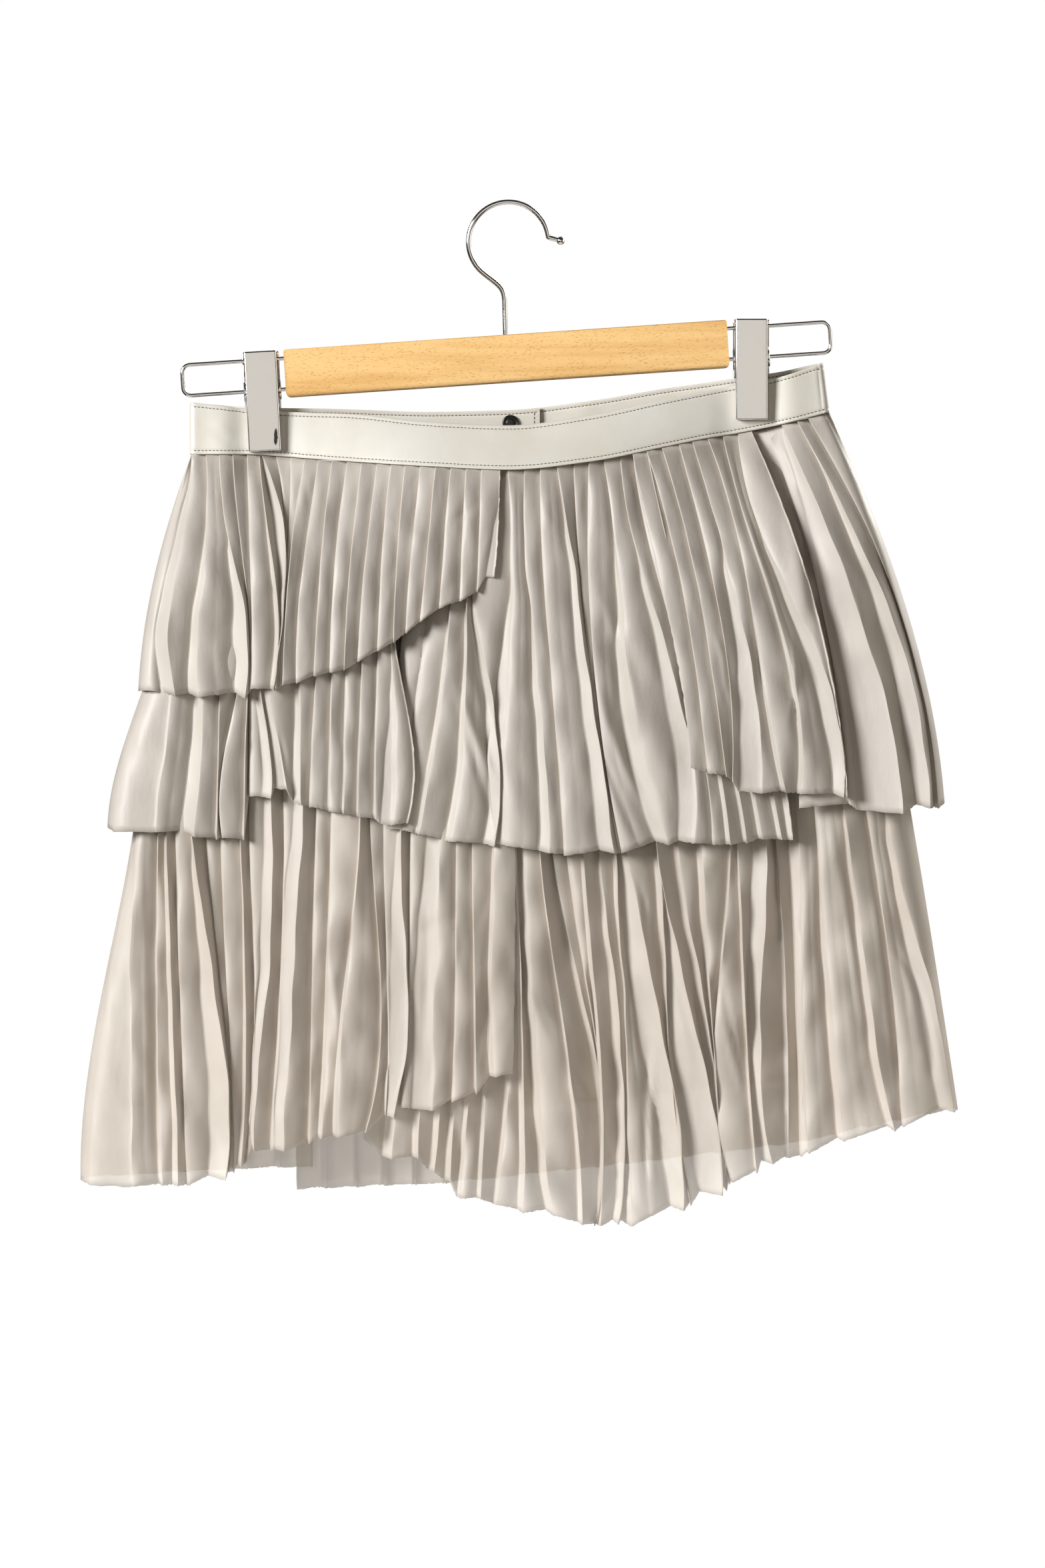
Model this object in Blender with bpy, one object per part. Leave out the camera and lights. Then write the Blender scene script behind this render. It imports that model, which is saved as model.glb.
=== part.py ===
"""Pleated mini skirt in wrapped flounces, hanging from a clip hanger.

The axes are +X to the right seen from the front, -Y to the front and +Z up. The origin is the inside of the
hook's top, where a rail carries the hanger. Tables and named sizes are in millimetres, and Blender's own units
are metres.
"""

import math
from collections import namedtuple

import bmesh
import bpy
from mathutils import Matrix, Vector

MM = 0.001
CLOTH_WALL = 1.0
LEATHER_WALL = 1.8
SEAM_GAP = 0.3

# The wooden bar and everything on it hang a little out of level.
HANGER_TILT = math.radians(3.85)
BAR_CENTRE = (-1.1, 0.0, -85.8)
BAR_LENGTH = 246.6
BAR_THICKNESS = 12.0
BAR_HEIGHT = 26.6
BAR_ROUNDING = 1.8

HOOK_WIRE = 2.7
HOOK_INSIDE_RADIUS = 20.9
HOOK_STEM_X = -1.5
HOOK_BALL = 4.6
LOOP_WIRE = 2.1
LOOP_REACH = 58.0
LOOP_HEIGHT = 17.1
LOOP_CORNER = 4.5
BORE_DEPTH = 9.0
BORE_ROOM = 0.35
WIRE_INSIDE = 7.0

JAW_DEPTH = 5.5
JAW_WALL = 1.0
JAW_FRONT = 9.5
BACK_JAW_EXTRA = 1.2
EAR_RADIUS = 5.5
EAR_WALL = 0.8

SNAP_DIAMETER = 9.1
SNAP_CENTRE = (1.1, -121.2)

Clip = namedtuple("Clip", "side x z width height tilt")
CLIPS = (
    Clip("left", -136.5, -109.5, 18.0, 55.6, math.radians(-2.9)),
    Clip("right", 134.9, -91.8, 17.7, 56.0, 0.0),
)

# The waist, station by station from the left: the height of the front band's top and lower edge and of the
# back band's top edge, then how far each edge stands from the middle plane.
Waist = namedtuple("Waist", "x top seam back_top out_top out_seam back_out_top back_out_seam")
WAIST = (
    Waist(-177.0, -110.0, -139.0, -110.0, 0.2, 0.2, 0.2, 0.2),
    Waist(-172.0, -110.5, -139.0, -110.5, 5.0, 6.0, 5.0, 6.0),
    Waist(-158.0, -112.0, -139.0, -111.5, 6.0, 8.0, 6.0, 8.0),
    Waist(-145.0, -113.5, -139.0, -112.5, 3.4, 4.6, 3.4, 4.6),
    Waist(-127.0, -115.0, -140.0, -113.0, 3.4, 4.6, 3.4, 4.6),
    Waist(-110.0, -115.7, -141.5, -113.2, 5.0, 8.5, 4.8, 6.5),
    Waist(-88.0, -116.5, -143.2, -113.7, 8.0, 14.0, 7.0, 8.5),
    Waist(-45.0, -121.0, -146.0, -115.0, 12.0, 24.0, 9.0, 10.0),
    Waist(0.0, -123.0, -148.0, -114.0, 13.0, 27.0, 9.5, 10.5),
    Waist(45.0, -117.5, -143.5, -109.0, 12.0, 24.0, 9.0, 10.0),
    Waist(88.0, -108.3, -134.8, -102.0, 8.0, 15.0, 7.0, 8.5),
    Waist(110.0, -103.8, -130.2, -99.0, 5.0, 9.0, 4.8, 6.5),
    Waist(125.5, -100.8, -127.6, -96.6, 3.4, 4.6, 3.4, 4.6),
    Waist(144.0, -97.5, -124.0, -94.0, 3.4, 4.6, 3.4, 4.6),
    Waist(158.0, -94.0, -120.7, -91.5, 6.0, 8.0, 6.0, 8.0),
    Waist(171.0, -90.0, -117.0, -88.8, 5.0, 7.0, 5.0, 7.0),
    Waist(176.5, -88.5, -115.5, -88.0, 0.2, 0.2, 0.2, 0.2),
)
BACK_BAND_HEIGHT = 28.5
# Down to this part of its height the band stays as far out as its top edge between the jaws.
PINCHED_HEIGHT = 0.88
BACK_LAP = (-13.0, 17.4)

# Each row is one pleat's fold edge: its X at the seam, a third and two thirds of the way down and at the hem,
# the height of the hem there, how wide the shadowed step beside it is at the hem, how far the edge stands out
# from the flounce and how far the bottom of the step lies behind it.
Fold = namedtuple("Fold", "seam upper lower hem low step out dip")

UPPER_LEFT = (
    (-176.5, -190, -201, -205.5, -270, 0, 0, 0),
    (-175, -182, -188, -190, -273, 8, 3, 1),
    (-169, -167, -170.5, -178.5, -274, 4, 3, 3),
    (-160.5, -155, -146, -145.5, -274.5, 3, 6, 4),
    (-153, -150, -144.5, -143, -271, 1, 1, 3),
    (-145, -143.5, -141.5, -140.5, -269.5, 1.5, 4, 5),
    (-140, -136, -134, -134.5, -270, 5, 4.5, -3.5),
    (-137, -126, -127, -129, -269.5, 1.5, 1, 4),
    (-129, -124, -125.5, -127.5, -269, 0.8, 0.5, 1),
    (-121, -122, -124.5, -126.5, -268.5, 0.8, 0.5, 1),
    (-113, -119.5, -123, -125, -267.5, 0.8, 2.5, 2),
    (-105.5, -111.5, -116, -117.5, -266, 1, 2, 2),
    (-98, -102.5, -105.5, -107.5, -262.5, 1, 2, 2.5),
    (-89.5, -94.5, -97.5, -99, -260.5, 1, 2, 3),
    (-81.5, -86, -89, -91, -259, 1, 2.5, 2),
    (-73, -77.5, -81, -83.5, -254.5, 1, 2, 1.5),
    (-65, -69, -71, -72.5, -248.5, 1, 2, 2),
    (-57.5, -60.5, -62.5, -63.5, -244, 1, 2, 3),
    (-49, -52, -55, -57, -238.5, 1, 2, 3),
    (-40.5, -43.5, -46, -49, -232.5, 1, 2.5, 2),
    (-32, -34.5, -36.5, -38.5, -225, 1, 2, 2),
    (-23.5, -25, -26, -27, -221, 1, 2, 2.5),
    (-15, -16, -16.5, -17.5, -216, 1, 2.5, 2),
    (-5, -5.5, -6.5, -10.5, -210.5, 9, 2.5, -2),
)

UPPER_RIGHT = (
    (69, 81, 93.5, 100.5, -313, 0, 2, 0),
    (76.5, 92.5, 103, 110, -316, 1, 2.5, 3),
    (85, 101, 112, 120, -317.5, 1, 2.5, 3),
    (94.5, 110, 121, 123.5, -320, 1, 3, 3),
    (102, 120, 134.5, 140.5, -327, 11, 4, -2),
    (110.5, 129, 140, 153, -326.5, 4, 3, 3),
    (119, 137.5, 157, 161, -327.5, 3, 4, 2),
    (127.5, 146, 175, 184.5, -329, 9, 4, 0),
    (134.5, 160.5, 177.5, 187, -329, 1, 3, -1),
)

UPPER_SIDE = (
    (138.5, 156, 161.5, 160.5, -335, 0, 0, 0),
    (142.5, 166.5, 183, 189.5, -333, 1.5, 1, 2),
    (148.5, 173, 193, 199.5, -338.5, 5, 3, 0),
    (156, 184.5, 206.5, 219, -335.5, 9, 4, 0),
    (163.5, 201, 222, 236, -335, 4, 3, 3),
    (178.5, 208.5, 230.5, 242, -332, 0, 0, 0),
)

MIDDLE_MAIN = (
    (-56, -60.5, -64.5, -68, -346, 0, -3, 0),
    (-42, -47.5, -54, -59, -347.5, 1.5, -1, 3),
    (-30.5, -33.5, -40, -49.5, -349.5, 2, 3, 2),
    (-21.5, -24, -26.5, -37.5, -353.5, 2, 3, 3),
    (-13.5, -21, -9.5, -9.5, -356.5, 5, 4, 2),
    (-0.5, 1, 0.5, -2.5, -356, 2, 2, 2),
    (9, 12, 18.5, 22, -360, 8, 4, -1),
    (18.5, 20.5, 25, 30, -361.5, 1.2, 3, 6),
    (27, 38.5, 47.5, 60, -360, 9, 4, 1),
    (36, 40.5, 49, 61, -360, 0.8, 0.5, 1),
    (44.5, 44.5, 50.5, 62.5, -360, 0.8, 2, 4),
    (53.5, 62.5, 70, 88.5, -355.5, 7, 3, 3),
    (62, 76, 97, 102, -354.5, 8, 4.5, -1),
    (69, 83.5, 103, 112.5, -355.5, 1.2, 2, 4),
    (77, 93, 110.5, 122.5, -355.5, 2, 3, 2),
    (85, 101.5, 119, 131.5, -354.5, 2, 3, 2),
    (93, 110.5, 127.5, 140, -352.5, 2, 3, 2),
    (102, 120, 137.5, 151, -352.5, 2, 3, 2),
    (111, 129, 146.5, 157, -353, 3, 3, 0),
)

MIDDLE_LEFT = (
    (-190, -197, -213, -222.5, -345.5, 0, 0, 0),
    (-183.5, -185, -190, -195, -348.5, 21, 4, -1),
    (-166, -167, -171, -176, -351, 3, 2, 5),
    (-158.5, -159.5, -160.5, -161.5, -352.5, 1.5, 1, 3),
    (-146, -146.5, -156.5, -158.5, -351.5, 1, 3, 4),
    (-140, -143.5, -145.5, -146.5, -353, 9, 4, -1),
    (-137.5, -142.5, -143.5, -143.5, -328.5, 1, -1, 5),
    (-136, -139, -134.5, -131.5, -330, 5, 4, 0),
    (-134, -136.5, -130, -123, -325, 4, 5, 1),
    (-113, -115.5, -115.5, -114.5, -333, 4, 2, 3),
    (-103, -105.5, -108, -110, -334.5, 1.5, 2.5, 3),
    (-95, -97.5, -98.5, -99, -337, 1.5, 2.5, 3),
    (-87.5, -90, -90.5, -91.5, -338.5, 1.5, 2.5, 3),
    (-78.5, -81, -82.5, -83.5, -340, 1.5, 3, 3),
    (-71, -72.5, -73.5, -74, -341.5, 1.5, 2.5, 3),
    (-66.5, -65, -63.5, -64.5, -344.5, 6, 3, -1),
    (-63.5, -62, -53.5, -56, -343.5, 1.5, 2, -1),
)

LOWER_LEFT = (
    (-203.5, -213, -228.5, -237.5, -541, 0, 0, 0),
    (-202, -207.5, -209, -207.5, -544.5, 24, 5, 0),
    (-193, -194.5, -194, -191.5, -544, 2, 2, 4),
    (-188.5, -188, -186, -183, -544, 6, 4, -1),
    (-184.5, -183, -180.5, -177, -544, 1, 2, 4),
    (-176, -172, -158.5, -157, -541, 12, 5, 1),
    (-167.5, -165, -156.5, -155, -536.5, 1, 0, 4),
    (-159, -158.5, -154.5, -152, -536.5, 1, 1, 3),
    (-151, -147.5, -145.5, -148, -533, 2, 2, 3),
    (-142.5, -143, -140.5, -141.5, -532, 1, 3, 4),
    (-135, -131, -134, -134.5, -525, 6, 4, -2),
    (-126, -124.5, -128, -132, -524.5, 1, 3, 7),
    (-113, -115.5, -120.5, -124.5, -525, 6, 5, -3),
    (-105, -107.5, -109, -110.5, -521, 1.5, 2, 6),
    (-97, -99, -100.5, -103.5, -518, 2, 3, 3),
    (-83, -84, -91, -95, -517.5, 2, 4, 4),
    (-73.5, -72, -75.5, -80, -515, 6, 1, 3),
    (-67.5, -69, -66, -68, -505, 1, 3, 5),
    (-58, -58, -57.5, -63.5, -506.5, 4, 5, -2),
    (-52.5, -54.5, -55, -59.5, -500.5, 1, 2, 6),
    (-37, -39, -40.5, -42.5, -502.5, 11, 5, -1),
    (-28, -29, -29.5, -31.5, -497.5, 1, 3, 5),
    (-19, -20, -19, -18, -493.5, 1.5, 3, 5),
    (-9.5, -10.5, -8, -8, -484, 3, 3, 4),
    (5, 4, 3.5, 2.5, -481.5, 9, 5, -3),
)

LOWER_MAIN = (
    (-46, -57, -70, -80.5, -518, 0, 0, 0),
    (-38.5, -46, -57, -64.5, -529.5, 5, 2, 2),
    (-31, -38.5, -46, -50.5, -529, 3, 2, 2),
    (-23.5, -27.5, -34, -41.5, -536.5, 3, 2, 2),
    (-18, -22, -27.5, -32.5, -542, 3, 2, 2),
    (-13.5, -15.5, -20.5, -26.5, -551, 2, 2, 2),
    (-7, -9, -12, -15.5, -551.5, 2, 2, 2),
    (-0.5, 0.5, 0.5, -7, -554.5, 2, 2, 2),
    (2.5, 5, 8, 8, -559, 3, 3, 3),
    (6, 10.5, 16, 23, -560.5, 4, 4, 3),
    (16.5, 21.5, 33, 38.5, -565.5, 4, 3, 2),
    (24.5, 29, 43, 45, -566.5, 2, 2, 3),
    (32, 37, 49, 52, -568, 2, 3, 3),
    (40.5, 44.5, 51.5, 55.5, -566.5, 1, 2, 3),
    (50.5, 58.5, 65.5, 65, -566.5, 6, 4, 1),
    (58.5, 64.5, 72.5, 75, -568, 3, 2, 3),
    (64.5, 69, 82, 82, -563, 3, 3, 3),
    (75.5, 82, 89, 99.5, -556, 4, 3, 3),
    (83.5, 86.5, 106.5, 119, -548.5, 8, 5, 0),
    (104, 110.5, 116, 123, -542.5, 1.5, 3, 6),
    (117.5, 123, 129.5, 137.5, -536.5, 3, 3, 3),
    (135.5, 140, 138.5, 146, -532, 4, 5, 2),
    (143, 150, 154, 156, -528.5, 3, -2, 5),
    (150, 157.5, 161, 162.5, -527, 3, -1, 4.5),
    (162.5, 163.5, 164.5, 166, -526.5, 1.2, 3, 5),
    (169.5, 173, 181, 183, -521, 3, 3, 3),
    (176, 194, 204, 213.5, -515, 6, 5, 2),
    (190, 204, 213, 218, -511.5, 2, 2, 1),
    (205, 220, 237, 242.5, -503, 7, 4, 1),
    (217.5, 229, 239.5, 249.5, -502, 0, 0, 0),
)

# The back is plain: the same pleats, evenly spread between its side edges.
Edge = namedtuple("Edge", "seam upper lower hem")
LEFT_UPPER_EDGE = Edge(*UPPER_LEFT[0][:4])
RIGHT_UPPER_EDGE = Edge(*UPPER_SIDE[-1][:4])
LEFT_MIDDLE_EDGE = Edge(*MIDDLE_LEFT[0][:4])
RIGHT_MIDDLE_EDGE = Edge(204.0, 213.0, 222.0, 229.0)
LEFT_LOWER_EDGE = Edge(*LOWER_LEFT[0][:4])
RIGHT_LOWER_EDGE = Edge(*LOWER_MAIN[-1][:4])
BACK_SLIT_LEFT = Edge(-116.0, -117.0, -118.0, -118.0)
BACK_SLIT_RIGHT = Edge(-108.0, -109.0, -109.0, -109.0)
LINING_LEFT_EDGE = Edge(-170.0, -193.0, -206.0, -214.0)
LINING_RIGHT_EDGE = Edge(171.5, 208.0, 219.0, 223.5)

# Hems of the back flounces and of the lining, as X and height.
BACK_UPPER_HEM = ((-205.5, -270.0), (-100.0, -289.5), (15.0, -312.0), (125.0, -326.5), (242.0, -332.0))
BACK_MIDDLE_HEM = ((-222.5, -345.5), (-100.0, -356.0), (50.0, -360.0), (160.0, -345.0), (229.0, -322.0))
BACK_LOWER_LEFT_HEM = ((-237.5, -541.0), (-160.0, -536.5), (-109.0, -534.5))
BACK_LOWER_RIGHT_HEM = (
    (-118.0, -547.5),
    (-33.0, -544.0),
    (65.0, -533.5),
    (160.0, -522.0),
    (249.5, -502.0),
)
LINING_HEM = ((-214.0, -500.5), (-17.5, -501.5), (100.0, -492.0), (223.5, -477.0))

# Hidden seams: where the lower flounces are sewn to the lining, as X and height.
MIDDLE_LEFT_SEAM = ((-200.0, -204.0), (-64.0, -204.0))
MIDDLE_MAIN_SEAM = (
    (-56.5, -208.0),
    (-42.0, -196.0),
    (-30.5, -182.5),
    (-21.5, -166.5),
    (-13.5, -155.5),
    (-1.0, -148.4),
    (63.0, -141.0),
    (72.0, -152.0),
    (90.0, -178.0),
    (115.0, -180.0),
)
LOWER_SEAM = ((-204.0, -300.0), (220.0, -304.0))
BACK_MIDDLE_SEAM = ((-200.0, -204.0), (200.0, -204.0))

# How a piece hangs: its mean distance from the middle plane low down and, as a function of X and of the turn
# round the side, at its seam; over what height it goes from one to the other; and which of its ends turn round
# the side to meet the other half.
Hang = namedtuple("Hang", "reach start drop left_side right_side facing")
FRONT = -1
BACK = 1
SIDE_TURN = 30.0
LEAST_STAND = 0.2
PLEAT_AT_SEAM = 0.6
STEP_AT_SEAM = 0.8
HEM_RISE = 0.5


def along(values, t):
    """A smooth line through four evenly spaced values, read at t from 0 to 1."""
    a, b, c, d = values
    return (
        a * (1 - 3 * t) * (2 - 3 * t) * (1 - t) / 2
        + b * 9 * t * (2 - 3 * t) * (1 - t) / 2
        + c * 9 * t * (3 * t - 1) * (1 - t) / 2
        + d * t * (3 * t - 1) * (3 * t - 2) / 2
    )


def ease(t):
    t = min(max(t, 0.0), 1.0)
    return t * t * (3 - 2 * t)


def read(table, x, column=1, key=0):
    """The value of a table's column at x, on straight lines between its rows."""
    rows = list(table)
    if x <= rows[0][key]:
        return rows[0][column]
    for low, high in zip(rows, rows[1:]):
        if x <= high[key]:
            part = (x - low[key]) / (high[key] - low[key])
            return low[column] + part * (high[column] - low[column])
    return rows[-1][column]


def waist(name, x):
    return read(WAIST, x, Waist._fields.index(name))


def waist_seam(x):
    return waist("seam", x) - SEAM_GAP


def back_waist_seam(x):
    return waist("back_top", x) - BACK_BAND_HEIGHT - SEAM_GAP


def seam_on(table):
    return lambda x: read(table, x)


def on_band(behind, least=1.2, face="out_seam"):
    """A seam so far behind the waistband's face, and never nearer the middle plane than least."""
    return lambda x, turn: max(waist(face, x) - behind, least)


def level_start(stand):
    """A seam at one distance, which closes in where the piece turns round the side."""
    return lambda x, turn: stand * turn


def even_folds(left, right, hem, count, out, dip):
    """Fold rows spread evenly between two edges, for the plain back."""
    rows = []
    for i in range(count + 1):
        part = i / count
        places = [a + part * (b - a) for a, b in zip(left, right)]
        end = i in (0, count)
        uneven = 1 + 0.3 * math.sin(2.4 * i)
        rows.append(
            Fold(
                *places,
                read(hem, places[3]),
                0.0 if end else 2.5 * uneven,
                0.0 if end else out * uneven,
                0.0 if end else dip * uneven,
            )
        )
    return rows


BACK_UPPER = even_folds(LEFT_UPPER_EDGE, RIGHT_UPPER_EDGE, BACK_UPPER_HEM, 30, 3.0, 3.0)
BACK_MIDDLE = even_folds(LEFT_MIDDLE_EDGE, RIGHT_MIDDLE_EDGE, BACK_MIDDLE_HEM, 24, 2.5, 2.5)
BACK_LOWER_LEFT = even_folds(LEFT_LOWER_EDGE, BACK_SLIT_RIGHT, BACK_LOWER_LEFT_HEM, 7, 2.0, 2.0)
BACK_LOWER_RIGHT = even_folds(BACK_SLIT_LEFT, RIGHT_LOWER_EDGE, BACK_LOWER_RIGHT_HEM, 22, 2.0, 2.0)


def ribs_of(rows):
    """The lines that a pleated sheet is drawn through: each fold's edge, and the bottom of its step before it.

    Each is (four X places, hem height, step, out), with the step zero on an edge.
    """
    ribs = []
    for i, row in enumerate(rows):
        fold = Fold(*row)
        places = fold[:4]
        if i > 0 and fold.step:
            ribs.append((places, fold.low + HEM_RISE * max(fold.out + fold.dip, 0), fold.step, -fold.dip))
        ribs.append((places, fold.low, 0.0, fold.out))
    return ribs


def sheet_point(rib, t, ends, seam, hang):
    """A point on a sheet's outer face, t of the way down a rib."""
    places, low, step, out = rib
    x = along(places, t)
    top = seam(places[0])
    drop = t * (top - low)
    x -= STEP_AT_SEAM + (step - STEP_AT_SEAM) * ease(t) if step else 0.0
    left, right = (along(end, t) for end in ends)
    room = SIDE_TURN
    if hang.left_side:
        room = min(room, x - left)
    if hang.right_side:
        room = min(room, right - x)
    turn = math.sqrt(max(0.0, 1 - (1 - max(room, 0.0) / SIDE_TURN) ** 2))
    start = hang.start(places[0], turn)
    stand = start + (hang.reach * turn - start) * ease(drop / hang.drop)
    pleat = math.copysign(min(abs(out), PLEAT_AT_SEAM), out) if out else 0.0
    grown = pleat + (out - pleat) * ease(t * 1.1)
    stand = max(stand + grown * min(turn * 1.5, 1.0), LEAST_STAND)
    return Vector((x, hang.facing * stand, top - drop))


def inner_section(points, wall, facing):
    """The inner face of a wall, each point moved square to the sheet, level by level."""
    moved = []
    count = len(points)
    for i, point in enumerate(points):
        normals = []
        for a, b in ((i - 1, i), (i, i + 1)):
            if a < 0 or b >= count:
                continue
            run = (points[b] - points[a]).to_2d().normalized()
            normals.append(Vector((facing * run.y, -facing * run.x)))
        first, last = normals[0], normals[-1]
        way = (first + last) / max(1 + first.dot(last), 0.45)
        place = point + Vector((way.x, way.y, 0.0)) * wall
        place.y = facing * max(facing * place.y, LEAST_STAND / 2)
        moved.append(place)
    return moved


def wall_mesh(name, sections, wall, facing):
    """A closed wall from sections of points on its outer face, listed from the top down."""
    inner = [inner_section(points, wall, facing) for points in sections]
    mesh = bmesh.new()
    grids = [
        [[mesh.verts.new(point * MM) for point in points] for points in side] for side in (sections, inner)
    ]
    rows = len(sections)
    columns = len(sections[0])

    def quad(*corners):
        mesh.faces.new(corners)

    for r in range(rows - 1):
        for c in range(columns - 1):
            for grid in grids:
                quad(grid[r][c], grid[r + 1][c], grid[r + 1][c + 1], grid[r][c + 1])
    for r in range(rows - 1):
        for c in (0, columns - 1):
            quad(grids[0][r][c], grids[0][r + 1][c], grids[1][r + 1][c], grids[1][r][c])
    for c in range(columns - 1):
        for r in (0, rows - 1):
            quad(grids[0][r][c], grids[0][r][c + 1], grids[1][r][c + 1], grids[1][r][c])
    bmesh.ops.triangulate(mesh, faces=mesh.faces[:])
    bmesh.ops.recalc_face_normals(mesh, faces=mesh.faces[:])
    data = bpy.data.meshes.new(name)
    mesh.to_mesh(data)
    mesh.free()
    thing = bpy.data.objects.new(name, data)
    bpy.context.scene.collection.objects.link(thing)
    return thing


def pleated_sheet(name, rows, seam, hang, levels, material):
    """One flounce as a wall, through every fold of its table."""
    ribs = ribs_of(rows)
    ends = (Fold(*rows[0])[:4], Fold(*rows[-1])[:4])
    sections = [
        [sheet_point(rib, level / levels, ends, seam, hang) for rib in ribs] for level in range(levels + 1)
    ]
    thing = wall_mesh(name, sections, CLOTH_WALL, hang.facing)
    thing.data.materials.append(material)
    return thing


def band_section(x, facing, lap=0.0):
    """The band's outer face at one station, from its top edge down."""
    if facing == FRONT:
        top, low = waist("top", x), waist("seam", x)
        out_top, out_low = waist("out_top", x), waist("out_seam", x)
    else:
        top = waist("back_top", x)
        low = top - BACK_BAND_HEIGHT
        out_top, out_low = waist("back_out_top", x) + lap, waist("back_out_seam", x) + lap
    pinched = 1 - min(abs(out_top - 3.4) / 2.5, 1.0)
    part = PINCHED_HEIGHT
    out_part = out_top + part * (1 - pinched) * (out_low - out_top)
    return (
        Vector((x, facing * out_top, top)),
        Vector((x, facing * out_part, top + part * (low - top))),
        Vector((x, facing * out_low, low)),
    )


def band(name, stations, facing, material, lap=None):
    """A stretch of the leather waistband through the given stations."""
    columns = [band_section(x, facing, lap(x) if lap else 0.0) for x in stations]
    thing = wall_mesh(name, list(zip(*columns)), LEATHER_WALL, facing)
    thing.data.materials.append(material)
    return thing


def back_lap(x):
    """How far the under layer of the back band stands off where the other part laps over it."""
    return (LEATHER_WALL + 2 * SEAM_GAP) * (1 - ease((x - BACK_LAP[1]) / 30.0))


def waistband(leather):
    """The band: one front piece, and two at the back that lap at the centre."""
    stations = [row.x for row in WAIST]
    band("waistband_front", stations, FRONT, leather)
    left = [x for x in stations if x < BACK_LAP[1] - 5] + [BACK_LAP[1]]
    band("waistband_back_left", left, BACK, leather)
    right = [BACK_LAP[0], 0.0, BACK_LAP[1], 30.0] + [x for x in stations if x > 40]
    band("waistband_back_right", right, BACK, leather, back_lap)


def lining_half(name, facing, material):
    """One half of the smooth lining, from just under the band to its own hem."""
    columns = 16
    ends = (LINING_LEFT_EDGE, LINING_RIGHT_EDGE)
    start = on_band(6.4) if facing == FRONT else on_band(3.2, face="back_out_seam")
    hang = Hang(9.0, start, 55.0, True, True, facing)
    ribs = []
    for i in range(columns + 1):
        part = ease(i / columns) * 0.35 + 0.65 * i / columns
        places = tuple(a + part * (b - a) for a, b in zip(*ends))
        ribs.append((places, read(LINING_HEM, places[3]), 0.0, 0.0))

    def seam(x):
        return (waist_seam(x) if facing == FRONT else back_waist_seam(x)) - 2.0

    sections = [[sheet_point(rib, level / 5, ends, seam, hang) for rib in ribs] for level in range(6)]
    thing = wall_mesh(name, sections, CLOTH_WALL, facing)
    thing.data.materials.append(material)


def skirt(satin, leather, lining, gunmetal):
    """Every sewn piece."""
    waistband(leather)
    lining_half("lining_front", FRONT, lining)
    lining_half("lining_back", BACK, lining)

    on_waist = on_band(1.0)
    on_back = on_band(1.0, face="back_out_seam")
    over_mid = on_band(3.8, least=12.0)
    under = level_start(12.0)
    over_left = level_start(12.8)
    over = level_start(15.5)
    mid_seam = seam_on(MIDDLE_MAIN_SEAM)
    left_seam = seam_on(MIDDLE_LEFT_SEAM)
    lower_seam = seam_on(LOWER_SEAM)
    back_seam = seam_on(BACK_MIDDLE_SEAM)
    sheets = (
        ("flounce_upper_left", UPPER_LEFT, waist_seam, 4, Hang(38.0, on_waist, 85.0, True, False, FRONT)),
        ("flounce_upper_right", UPPER_RIGHT, waist_seam, 4, Hang(42.0, on_waist, 85.0, False, False, FRONT)),
        ("flounce_upper_side", UPPER_SIDE, waist_seam, 4, Hang(35.0, on_waist, 85.0, False, True, FRONT)),
        ("flounce_middle_main", MIDDLE_MAIN, mid_seam, 4, Hang(28.5, over_mid, 85.0, False, False, FRONT)),
        ("flounce_middle_left", MIDDLE_LEFT, left_seam, 3, Hang(33.0, over_left, 90.0, True, False, FRONT)),
        ("flounce_lower_left", LOWER_LEFT, lower_seam, 5, Hang(27.0, over, 120.0, True, False, FRONT)),
        ("flounce_lower_main", LOWER_MAIN, lower_seam, 5, Hang(16.5, under, 120.0, False, True, FRONT)),
        ("back_upper", BACK_UPPER, back_waist_seam, 4, Hang(35.0, on_back, 85.0, True, True, BACK)),
        ("back_middle", BACK_MIDDLE, back_seam, 3, Hang(25.5, under, 90.0, True, True, BACK)),
        ("back_lower_left", BACK_LOWER_LEFT, lower_seam, 4, Hang(14.5, under, 120.0, True, False, BACK)),
        ("back_lower_right", BACK_LOWER_RIGHT, lower_seam, 4, Hang(18.5, over, 120.0, False, True, BACK)),
    )
    for name, rows, seam, levels, hang in sheets:
        pleated_sheet(name, rows, seam, hang, levels, satin)
    snap(gunmetal)


def snap(material):
    """The press stud's cap on the inner face of the back band, with a raised rim."""
    radius = SNAP_DIAMETER / 2
    x, z = SNAP_CENTRE
    face = waist("back_out_top", x) - LEATHER_WALL - SEAM_GAP
    profile = (
        (0.0, 0.0),
        (radius, 0.0),
        (radius, 0.7),
        (radius - 0.6, 1.2),
        (radius - 1.3, 0.8),
        (radius - 2.2, 0.8),
        (radius - 2.7, 1.2),
        (0.0, 1.2),
    )
    turned("snap", profile, Vector((x, face, z)), material, 24)


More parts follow.
